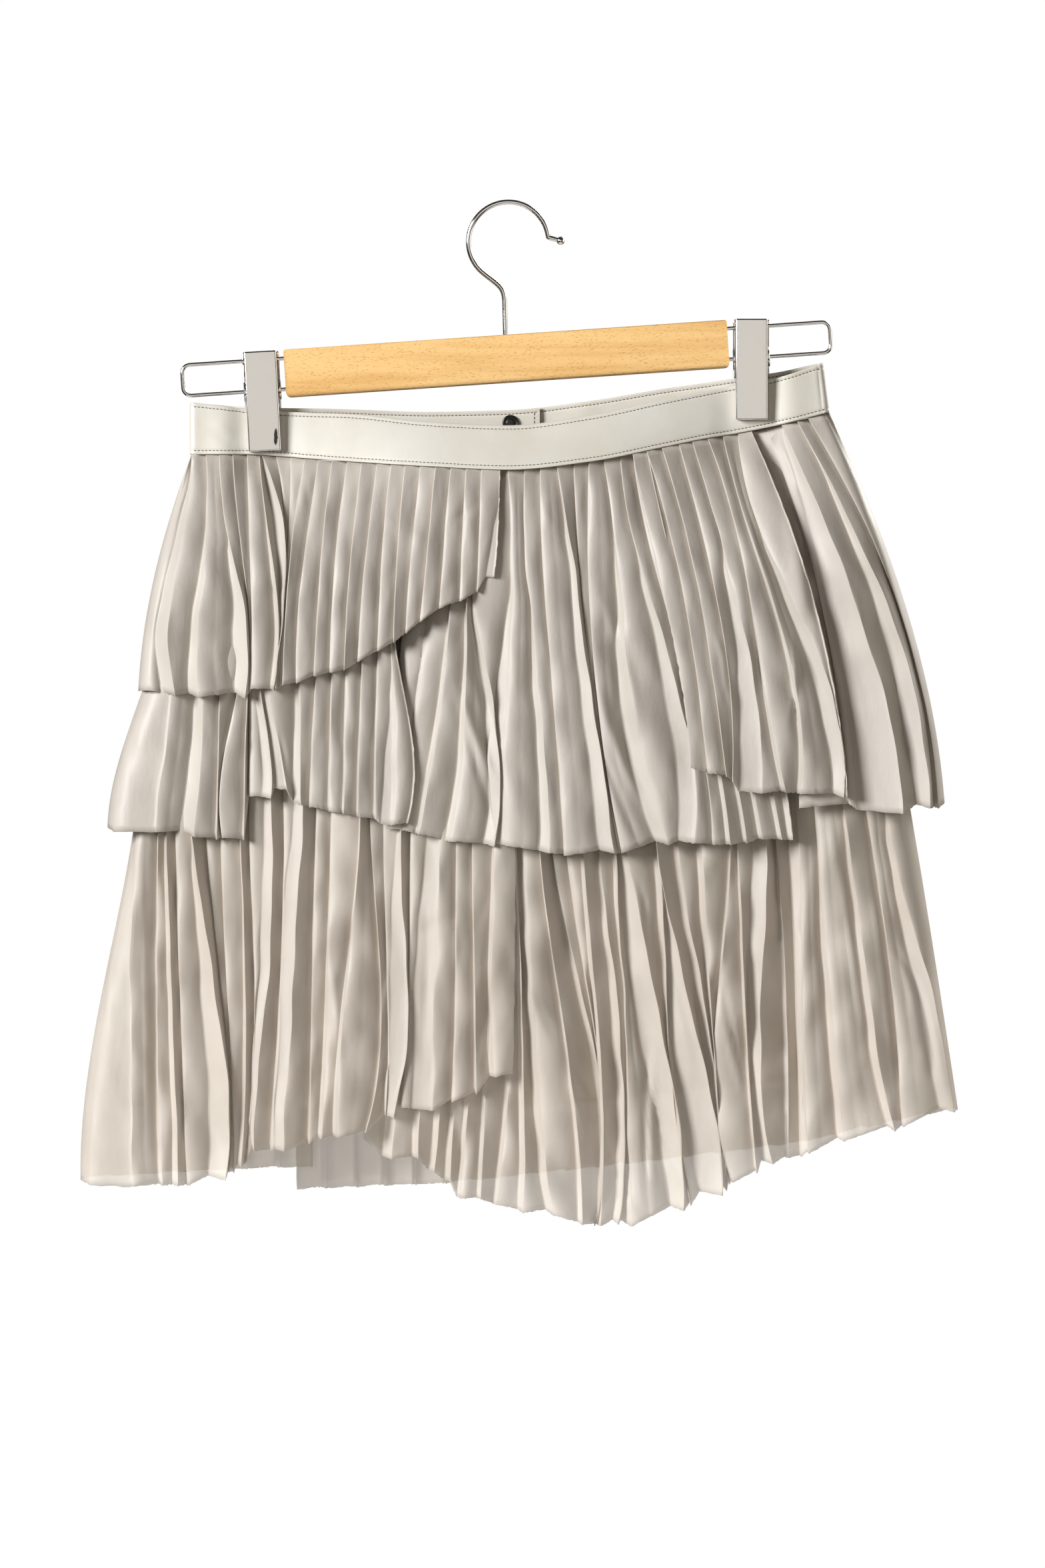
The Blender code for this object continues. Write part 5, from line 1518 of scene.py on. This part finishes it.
FRONT_FLOUNCES = (
    Flounce(
        "satin_upper_left", "flounce_upper_left", UPPER_LEFT, waist_seam,
        Hang(36.8, BAND_START, 75.0, True, False, FRONT), UPPER_LEFT_CREASES, UPPER_LEFT_DRAPES,
    ),
    Flounce(
        "satin_upper_right", "flounce_upper_right", UPPER_RIGHT, waist_seam,
        Hang(38.5, BAND_START, 85.0, False, False, FRONT), UPPER_RIGHT_CREASES, UPPER_RIGHT_DRAPES,
    ),
    Flounce(
        "satin_upper_side", "flounce_upper_side", UPPER_SIDE, waist_seam,
        Hang(35.6, on_band(2.4), 85.0, False, True, FRONT), UPPER_SIDE_CREASES, UPPER_SIDE_DRAPES,
    ),
    Flounce(
        "satin_middle_main", "flounce_middle_main", MIDDLE_MAIN, seam_on(MIDDLE_MAIN_SEAM),
        Hang(31.0, stand_on(MIDDLE_MAIN_STAND), 64.0, False, False, FRONT), MIDDLE_MAIN_CREASES,
        MIDDLE_MAIN_DRAPES,
    ),
    Flounce(
        "satin_middle_left", "flounce_middle_left", MIDDLE_LEFT, seam_on(MIDDLE_LEFT_SEAM),
        Hang(31.5, level_start(18.0), 50.0, True, False, FRONT), MIDDLE_LEFT_CREASES, MIDDLE_LEFT_DRAPES,
    ),
)
SHEER_FLOUNCES = (
    Flounce(
        "satin_lower_left", "flounce_lower_left", LOWER_LEFT, seam_on(LOWER_SEAM),
        Hang(25.6, FRONT_OVER_START, 60.0, True, False, FRONT), LOWER_LEFT_CREASES, LOWER_LEFT_DRAPES,
    ),
    Flounce(
        "satin_lower_main", "flounce_lower_main", LOWER_MAIN, seam_on(LOWER_SEAM),
        Hang(20.0, FRONT_UNDER_START, 60.0, False, True, FRONT), LOWER_MAIN_CREASES, LOWER_MAIN_DRAPES,
    ),
)
BACK_FLOUNCES = (
    Flounce(
        "satin_back_upper", "back_upper",
        even_folds(LEFT_UPPER_EDGE, RIGHT_UPPER_EDGE, BACK_UPPER_HEM, 30, 3.0, 3.0), back_waist_seam,
        Hang(35.0, BACK_START, 85.0, True, True, BACK), BACK_CREASES, (),
    ),
    Flounce(
        "satin_back_middle", "back_middle",
        even_folds(LEFT_MIDDLE_EDGE, RIGHT_MIDDLE_EDGE, BACK_MIDDLE_HEM, 24, 2.5, 2.5),
        seam_on(BACK_MIDDLE_SEAM), Hang(25.5, UNDER_START, 90.0, True, True, BACK), BACK_CREASES, (),
    ),
    Flounce(
        "satin_back_lower_left", "back_lower_left",
        even_folds(LEFT_LOWER_EDGE, BACK_SLIT_RIGHT, BACK_LOWER_LEFT_HEM, 7, 2.0, 2.0),
        seam_on(LOWER_SEAM), Hang(14.5, UNDER_START, 120.0, True, False, BACK), BACK_CREASES, (),
    ),
    Flounce(
        "satin_back_lower_right", "back_lower_right",
        even_folds(BACK_SLIT_LEFT, RIGHT_LOWER_EDGE, BACK_LOWER_RIGHT_HEM, 22, 2.0, 2.0),
        seam_on(LOWER_SEAM), Hang(18.5, OVER_START, 120.0, False, True, BACK), BACK_CREASES, (),
    ),
)

SNAP_CENTRE = (1.1, -121.2)

# The lining: its levels of points, how far under the band's edge it starts and behind the band's face, how
# far it stands off lower down and over what drop it gets there, its soft waves, and how its columns crowd at
# the sides.
LINING_LEVELS = 45
LINING_TUCK = 2.0
LINING_BEHIND_FRONT = 6.4
LINING_BEHIND_BACK = 3.2
LINING_REACH = 9.0
LINING_DROP = 55.0
LINING_WAVE = 0.8
LINING_WAVE_DROP = 220.0
LINING_CROWDING = 0.35


def lining_points(facing, levels, columns):
    """One half of the lining, from just under the band to its own hem, with a few soft waves."""
    t = np.linspace(0.0, 1.0, levels + 1)[:, None]
    part = np.linspace(0.0, 1.0, columns + 1)
    part = ease(part) * LINING_CROWDING + (1 - LINING_CROWDING) * part
    left, right = LINING_EDGES
    places = [a + part * (b - a) for a, b in zip(left, right)]
    x = along(places, t)
    if facing == FRONT:
        band_edge, at_band = waist_seam, on_band(LINING_BEHIND_FRONT)
    else:
        band_edge, at_band = back_waist_seam, on_band(LINING_BEHIND_BACK, face="back_out_seam")
    top = band_edge(places[0]) - LINING_TUCK
    drop = t * (top - smooth_read(LINING_HEM, places[3]))
    turn = side_turn(np.minimum(x - x[:, :1], x[:, -1:] - x) / SIDE_TURN)
    start = at_band(places[0], turn)
    stand = start + (LINING_REACH * turn - start) * ease(drop / LINING_DROP)
    waves = LINING_WAVE * wave(2.7, x / 95.0 + drop / 700.0) * ease(drop / LINING_WAVE_DROP) * turn
    return np.stack([x, facing * np.maximum(stand + waves, 0.0), top - drop], axis=-1)


def band_piece(name, node, low, high, facing, leather, lap=None, creases=()):
    """One part of the waistband, finished."""
    made = make_object(name, band_mesh(name, low, high, facing, lap, creases))
    return finish_piece(made, leather, "leather", node)


# How stitch lines lie: the distance between the points that they run through, how deep they sink in their
# groove as a part of it, how far one ends from a band's end, how far a line across an end stands in from it
# and off the leather, and how far that line stays clear of the lines along the edges.
LINE_STEP = 1.0
SUNK_PART = 0.6
BAND_END_CLEAR = 3.0
FREE_END_CLEAR = 2.0
END_LINE_INSET = 3.0
END_LINE_PROUD = 0.05
END_LINE_GAP = 1.0
END_LINE_POINTS = 12


def thread_line(low, high, facing, lap, inside, from_top):
    """A stitch line along a band, laid in its groove on the outer or the inner face."""
    points = []
    for x in np.arange(low, high, LINE_STEP):
        top, bottom, _, _ = band_lines(x, facing)
        down = STITCH_INSET if from_top else top - bottom - STITCH_INSET
        deep = STITCH_GROOVE * SUNK_PART
        deep = LEATHER_WALL - deep if inside else deep
        points.append(band_point(x, down, deep, facing, lap(x) if lap else 0.0))
    return points


def end_line(x, facing, inside, lap=None):
    """A short upright stitch line near a band's free end."""
    top, bottom, _, _ = band_lines(x, facing)
    deep = LEATHER_WALL + END_LINE_PROUD if inside else -END_LINE_PROUD
    clear = STITCH_INSET + END_LINE_GAP
    downs = np.linspace(clear, top - bottom - STITCH_INSET - END_LINE_GAP, END_LINE_POINTS)
    return [band_point(x, down, deep, facing, lap(x) if lap else 0.0) for down in downs]


# Round the press stud: radius and height.
SNAP_PROFILE = (
    *((0.0, 0.0), (4.3, 0.0), (4.5, 0.15), (4.55, 0.45), (4.45, 0.8), (4.25, 1.05), (3.95, 1.15)),
    *((3.7, 1.08), (3.5, 0.9), (3.35, 0.75), (2.5, 0.72), (2.4, 0.8), (2.3, 1.0), (2.1, 1.12)),
    *((1.8, 1.16), (0.9, 1.18), (0.0, 1.18)),
)


# ---------------------------------------------------------------- settings and operators


def size_setting(name, description, default, low, high):
    """A length in metres as a setting."""
    limits = {"default": default, "min": low, "max": high}
    return FloatProperty(name=name, description=description, subtype="DISTANCE", unit="LENGTH", **limits)


def tone_setting(name, description, default):
    """An sRGB hex colour as a setting."""
    return StringProperty(name=name, description=description, default=default)


class SkirtSettings(bpy.types.PropertyGroup):
    """Sizes and colours of the cloth, leather and thread."""

    row_spacing: size_setting("Row spacing", "Height between two rows of points", 0.0036, 0.001, 0.02)
    cloth_wall: size_setting("Cloth thickness", "Thickness of satin and lining", 0.00045, 0.0002, 0.002)
    lining_columns: IntProperty(
        name="Lining columns",
        description="Points across one half of the lining",
        default=120,
        min=16,
        max=400,
    )
    satin_light: tone_setting("Satin, light", "The satin's lighter tone", "#BDB4A9")
    satin_dark: tone_setting("Satin, dark", "The satin's darker tone", "#B3AA9F")
    # The thin satin's tones are lighter than the satin's: a painted glow for the light that shines through
    # the thin cloth.
    sheer_light_painted_glow: tone_setting("Thin satin, light", "The thin satin's lighter tone", "#DACFC2")
    sheer_dark_painted_glow: tone_setting("Thin satin, dark", "The thin satin's darker tone", "#CEC3B5")
    lining_colour: tone_setting("Lining", "The lining's colour", "#DCD4C9")
    leather_colour: tone_setting("Leather", "The waistband's colour", "#D3CDC2")
    # The thread's dark tone is partly its own and partly painted shade of the groove and needle holes that it
    # sinks into.
    thread_colour_with_painted_shade: tone_setting("Thread", "The topstitching's colour", "#746B5E")


class StitchSettings(bpy.types.PropertyGroup):
    """Sizes of the topstitching."""

    pitch: size_setting("Stitch pitch", "Distance from one stitch to the next", 0.0021, 0.001, 0.006)
    length: size_setting("Stitch length", "Thread that shows between two needle holes", 0.0016, 0.0005, 0.005)
    width: size_setting("Thread width", "Thickness of the sewing thread", 0.00055, 0.0002, 0.001)


class HangerSettings(bpy.types.PropertyGroup):
    """Colours of the hanger."""

    beech_colour: tone_setting("Beech", "The lacquered wood's colour", "#EDC07D")
    fleck_colour: tone_setting("Beech flecks", "The dark flecks in the wood", "#A0642E")
    chrome_colour: tone_setting("Chrome", "The plating's colour", "#F2F0EE")
    gunmetal_colour: tone_setting("Gunmetal", "The press stud's colour", "#3A3836")


SHEER_ALPHA = 0.58
WIRE_ROUGHNESS = 0.07
SHEET_ROUGHNESS = 0.12


def kept_material(name, maker, *args):
    """The named material, made the first time that it is asked for."""
    return bpy.data.materials.get(name) or maker(name, *args)


def satin(settings):
    """The pleated satin of the upper and middle flounces."""
    tones = (settings.satin_light, settings.satin_dark)
    return kept_material("polyester satin, pleated", satin_cloth, *tones)


def sheer_satin(settings):
    """Thin satin of the lowest flounces: it lets some light through, and its lighter tones paint the glow of
    light shining through it.
    """
    tones = (settings.sheer_light_painted_glow, settings.sheer_dark_painted_glow)
    return kept_material("polyester satin, pleated and thin", satin_cloth, *tones, SHEER_ALPHA)


def chrome_material(settings, form, *looks):
    """Chrome on steel wire or sheet."""
    return kept_material(f"chrome plated steel {form}", chrome_plate, settings.chrome_colour, *looks)


# The plain back is drawn with fewer rows of points than the front.
BACK_ROW_SPACING = 1.65


def hang_flounces(context, flounces, material, hangs_from):
    """Makes a group of flounces."""
    settings = context.scene.skirt_cloth
    for flounce in flounces:
        rows = np.array(flounce.folds, float)
        longest = float((flounce.seam(rows[:, 0]) - rows[:, 4]).max())
        spacing = settings.row_spacing * (BACK_ROW_SPACING if flounce.hang.facing == BACK else 1.0)
        points = flounce_points(flounce, int(longest * MM / spacing))
        looks = (flounce.hang.facing, settings.cloth_wall / MM, material, "satin")
        cloth_piece(flounce.name, points, *looks, (flounce.node,), "gathered", hangs_from)


class SKIRT_OT_waistband(bpy.types.Operator):
    """Make the leather waistband: the front, and the two back parts that lap"""

    bl_idname = "skirt.waistband"
    bl_label = "Waistband"

    def execute(self, context):
        leather = smooth_leather(context.scene.skirt_cloth.leather_colour)
        ends = (WAIST[0].x, WAIST[-1].x)
        band_piece("leather_band_front", "waistband_front", *ends, FRONT, leather, creases=BAND_CREASES)
        band_piece("leather_band_back_left", "waistband_back_left", ends[0], BACK_LAP[1], BACK, leather)
        right = ("waistband_back_right", BACK_LAP[0], ends[1], BACK, leather, back_lap)
        band_piece("leather_band_back_right", *right)
        return {"FINISHED"}


class SKIRT_OT_lining(bpy.types.Operator):
    """Make the two halves of the lining"""

    bl_idname = "skirt.lining"
    bl_label = "Lining"

    def execute(self, context):
        settings = context.scene.skirt_cloth
        cloth = lining_cloth(settings.lining_colour)
        for name, node, facing, band in (
            ("lining_cloth_front", "lining_front", FRONT, "leather_band_front"),
            ("lining_cloth_back", "lining_back", BACK, "leather_band_back_right"),
        ):
            points = lining_points(facing, LINING_LEVELS, settings.lining_columns)
            wall = settings.cloth_wall / MM
            cloth_piece(name, points, facing, wall, cloth, "lining", (node,), "hung", band)
        return {"FINISHED"}


class SKIRT_OT_upper_flounces(bpy.types.Operator):
    """Make the front's upper and middle flounces"""

    bl_idname = "skirt.upper_flounces"
    bl_label = "Front flounces"

    def execute(self, context):
        material = satin(context.scene.skirt_cloth)
        hang_flounces(context, FRONT_FLOUNCES[:3], material, "leather_band_front")
        hang_flounces(context, FRONT_FLOUNCES[3:], material, "lining_cloth_front")
        return {"FINISHED"}


class SKIRT_OT_lower_flounces(bpy.types.Operator):
    """Make the front's two lowest flounces, in the thinner satin"""

    bl_idname = "skirt.lower_flounces"
    bl_label = "Lowest flounces"

    def execute(self, context):
        hang_flounces(context, SHEER_FLOUNCES, sheer_satin(context.scene.skirt_cloth), "lining_cloth_front")
        return {"FINISHED"}


class SKIRT_OT_back_flounces(bpy.types.Operator):
    """Make the plain back's flounces"""

    bl_idname = "skirt.back_flounces"
    bl_label = "Back flounces"

    def execute(self, context):
        settings = context.scene.skirt_cloth
        hang_flounces(context, BACK_FLOUNCES[:1], satin(settings), "leather_band_back_right")
        hang_flounces(context, BACK_FLOUNCES[1:2], satin(settings), "lining_cloth_back")
        hang_flounces(context, BACK_FLOUNCES[2:], sheer_satin(settings), "lining_cloth_back")
        return {"FINISHED"}


class SKIRT_OT_topstitching(bpy.types.Operator):
    """Make the rows of stitches along the waistband's edges and ends"""

    bl_idname = "skirt.topstitching"
    bl_label = "Topstitching"

    def execute(self, context):
        thread = sewing_thread(context.scene.skirt_cloth.thread_colour_with_painted_shade)
        sizes = context.scene.skirt_stitches
        tree, inputs = stitch_tree(thread)
        values = {"Pitch": sizes.pitch, "Length": sizes.length, "Width": sizes.width}
        low, high = WAIST[0].x + BAND_END_CLEAR, WAIST[-1].x - BAND_END_CLEAR
        spans = (
            ("front", low, high, FRONT, None),
            ("back_left", low, BACK_LAP[1] - FREE_END_CLEAR, BACK, None),
            ("back_right", BACK_LAP[0] + FREE_END_CLEAR, high, BACK, back_lap),
        )
        rows = {"front": [], "back_left": [], "back_right": []}
        for inside in (False, True):
            for from_top in (True, False):
                for label, start, end, facing, lap in spans:
                    rows[label].append(thread_line(start, end, facing, lap, inside, from_top))
            rows["back_left"].append(end_line(BACK_LAP[1] - END_LINE_INSET, BACK, inside))
            rows["back_right"].append(end_line(BACK_LAP[0] + END_LINE_INSET, BACK, inside, back_lap))
        for label, lines in rows.items():
            made = stitch_row(f"stitches_{label}", lines, tree, inputs, values)
            finish_piece(made, thread, "leather")
        return {"FINISHED"}


class SKIRT_OT_press_stud(bpy.types.Operator):
    """Make the press stud on the inner face of the back band"""

    bl_idname = "skirt.press_stud"
    bl_label = "Press stud"

    def execute(self, context):
        x, z = SNAP_CENTRE
        face = float(waist("back_out_top", x)) - LEATHER_WALL - SEAM_GAP
        mesh = turned_mesh("press_stud", SNAP_PROFILE, Vector((x, face, z)), Vector((0.0, -1.0, 0.0)))
        made = make_object("press_stud", mesh)
        finish_piece(made, gunmetal_plate(context.scene.skirt_hanger.gunmetal_colour), "gunmetal", "snap")
        return {"FINISHED"}


class SKIRT_OT_hanger_bar(bpy.types.Operator):
    """Make the hanger's wooden bar"""

    bl_idname = "skirt.hanger_bar"
    bl_label = "Hanger bar"

    def execute(self, context):
        settings = context.scene.skirt_hanger
        beech = lacquered_beech(settings.beech_colour, settings.fleck_colour)
        finish_piece(bored_bar(), beech, "beech", "hanger_bar")
        return {"FINISHED"}


class SKIRT_OT_hanger_wires(bpy.types.Operator):
    """Make the hook and the two wire loops"""

    bl_idname = "skirt.hanger_wires"
    bl_label = "Hook and loops"

    def execute(self, context):
        chrome = chrome_material(context.scene.skirt_hanger, "wire", WIRE_ROUGHNESS)
        points, radii = hook_route()
        hook = make_object("chrome_hook", tube_mesh("chrome_hook", points, radii))
        finish_piece(hook, chrome, "chrome", "hanger_hook")
        for side, label in ((-1, "left"), (1, "right")):
            name = f"chrome_loop_{label}"
            points = loop_route(side)
            made = make_object(name, tube_mesh(name, points, [LOOP_WIRE / 2] * len(points)))
            finish_piece(made, chrome, "chrome", f"hanger_loop_{label}")
        return {"FINISHED"}


class SKIRT_OT_clips(bpy.types.Operator):
    """Make the two spring clips, each with a front jaw and a back jaw with ears"""

    bl_idname = "skirt.clips"
    bl_label = "Clips"

    def execute(self, context):
        settings = context.scene.skirt_hanger
        chrome = chrome_material(settings, "sheet", SHEET_ROUGHNESS)
        worn = chrome_material(settings, "sheet, scuffed", SHEET_ROUGHNESS, CLIP_SCUFF)
        for clip in CLIPS:
            front = evaluated_piece(jaw_piece(clip, "front", FRONT, 0.0))
            plate = worn if clip.side == "left" else chrome
            finish_piece(front, plate, "chrome", f"clip_{clip.side}_front")
            back = evaluated_piece(jaw_piece(clip, "back", BACK, BACK_JAW_EXTRA))
            ears = [ear_mesh(clip, side) for side in (-1, 1)]
            back.data = join_meshes(back.name, [back.data, *ears])
            finish_piece(back, chrome, "chrome", f"clip_{clip.side}_back")
        return {"FINISHED"}


# ---------------------------------------------------------------- the stage

# In metres, but for the sensor's millimetres.
VIEW_DISTANCE = 7.0
VIEW_HEIGHT = 0.868
VIEW_CENTRE = Vector((0.0078, -0.02, -0.3218))
SENSOR = 24.0
FLOOR_DROP = 0.38
FLOOR_RADIUS = 0.8
FLOOR_SIDES = 96
FLOOR_COLOUR = "#E8E6E2"

# Lights aimed at the view's centre: place and size in metres, power in watts, and colour.
Light = namedtuple("Light", "name place size watts tone")
LIGHTS = (
    Light("key light", (-3.6, -2.8, 1.15), (1.6, 1.8), 384.0, "#F8FBFF"),
    Light("back light", (2.4, 3.3, 1.6), (2.0, 2.0), 170.0, "#FDFBF7"),
)

# How bright the room is to what it lights: at its left and right ends, on the card in front and on the one on
# the right, and how much brighter it is behind.
ROOM_LEVELS = (0.03, 0.05)
FRONT_CARD = 0.68
RIGHT_CARD = 1.4
REAR_GAIN = 3.0
ROOM_COLOUR = "#FFFAF1"
SEEN_COLOUR = "#FFFFFF"


def area_light(light, aim):
    """A soft rectangular light at its place, aimed at a point."""
    data = bpy.data.lights.new(light.name, "AREA")
    data.shape = "RECTANGLE"
    data.size, data.size_y = light.size
    data.energy = light.watts
    data.color = colour(light.tone)[:3]
    made = make_object(light.name, data)
    made.location = light.place
    made.rotation_euler = (Vector(aim) - Vector(light.place)).to_track_quat("-Z", "Y").to_euler()
    return made


def studio_world():
    """White to the eye. To all that it lights, a dim room with bright cards in front and on the right."""
    world = bpy.data.worlds.new("studio")
    world.use_nodes = True
    tree = world.node_tree
    tree.nodes.clear()
    place = add_node(tree, "ShaderNodeTexCoord")
    parts = add_node(tree, "ShaderNodeSeparateXYZ", {"Vector": place.outputs["Generated"]}).outputs
    side = remap(tree, parts["X"], (-1.0, 1.0), ROOM_LEVELS)
    card = remap(tree, parts["Y"], (-0.9, -0.94), (0.0, FRONT_CARD), interpolation_type="SMOOTHSTEP")
    fill = remap(tree, parts["X"], (0.82, 0.94), (0.0, RIGHT_CARD), interpolation_type="SMOOTHSTEP")
    rear = remap(tree, parts["Y"], (0.1, 0.5), (1.0, REAR_GAIN))
    level = reckon(tree, "MULTIPLY_ADD", reckon(tree, "ADD", side, card), rear, fill)
    room = add_node(tree, "ShaderNodeBackground", {"Color": colour(ROOM_COLOUR), "Strength": level})
    seen = add_node(tree, "ShaderNodeBackground", {"Color": colour(SEEN_COLOUR), "Strength": 1.0})
    ray = add_node(tree, "ShaderNodeLightPath")
    shown = {0: ray.outputs["Is Camera Ray"], 1: room.outputs["Background"], 2: seen.outputs["Background"]}
    mixed = add_node(tree, "ShaderNodeMixShader", shown)
    add_node(tree, "ShaderNodeOutputWorld", {"Surface": mixed.outputs["Shader"]})
    return world


class SKIRT_OT_studio(bpy.types.Operator):
    """Make the floor, the camera and the lights"""

    bl_idname = "skirt.studio"
    bl_label = "Studio"

    def execute(self, context):
        scene = context.scene
        shape = bmesh.new()
        bmesh.ops.create_circle(shape, cap_ends=True, segments=FLOOR_SIDES, radius=FLOOR_RADIUS)
        floor_mesh = mesh_from("floor", shape)
        floor_mesh.transform(Matrix.Translation((0.0, 0.0, LOADED_BOX[0].z - FLOOR_DROP)))
        floor = make_object("floor", floor_mesh)
        floor_mesh.materials.append(paper_floor(FLOOR_COLOUR))

        data = bpy.data.cameras.new("camera")
        data.sensor_fit = "VERTICAL"
        data.sensor_height = SENSOR
        data.lens = SENSOR * VIEW_DISTANCE / VIEW_HEIGHT
        camera = make_object("camera", data)
        camera.location = VIEW_CENTRE - Vector((0.0, VIEW_DISTANCE, 0.0))
        camera.rotation_euler = (math.pi / 2, 0.0, 0.0)
        scene.camera = camera

        scene.world = studio_world()
        scene.view_settings.view_transform = "Standard"
        for light in LIGHTS:
            area_light(light, VIEW_CENTRE)
        return {"FINISHED"}


STEPS = (
    SKIRT_OT_waistband,
    SKIRT_OT_lining,
    SKIRT_OT_upper_flounces,
    SKIRT_OT_lower_flounces,
    SKIRT_OT_back_flounces,
    SKIRT_OT_topstitching,
    SKIRT_OT_press_stud,
    SKIRT_OT_hanger_bar,
    SKIRT_OT_hanger_wires,
    SKIRT_OT_clips,
    SKIRT_OT_studio,
)


class SKIRT_PT_panel(bpy.types.Panel):
    """Lists the settings and the steps in their order"""

    bl_label = "Skirt on a hanger"
    bl_idname = "SKIRT_PT_panel"
    bl_space_type = "VIEW_3D"
    bl_region_type = "UI"
    bl_category = "Skirt"

    def draw(self, context):
        for name in ("skirt_cloth", "skirt_stitches", "skirt_hanger"):
            group = getattr(context.scene, name)
            box = self.layout.box()
            for field in type(group).__annotations__:
                box.prop(group, field)
        for step in STEPS:
            self.layout.operator(step.bl_idname)


CLASSES = (SkirtSettings, StitchSettings, HangerSettings, *STEPS, SKIRT_PT_panel)


def register():
    for kind in CLASSES:
        bpy.utils.register_class(kind)
    bpy.types.Scene.skirt_cloth = PointerProperty(type=SkirtSettings)
    bpy.types.Scene.skirt_stitches = PointerProperty(type=StitchSettings)
    bpy.types.Scene.skirt_hanger = PointerProperty(type=HangerSettings)


def unregister():
    for name in ("skirt_hanger", "skirt_stitches", "skirt_cloth"):
        delattr(bpy.types.Scene, name)
    for kind in reversed(CLASSES):
        bpy.utils.unregister_class(kind)


def main():
    register()
    for step in STEPS:
        family, name = step.bl_idname.split(".")
        getattr(getattr(bpy.ops, family), name)()


if __name__ == "__main__":
    main()
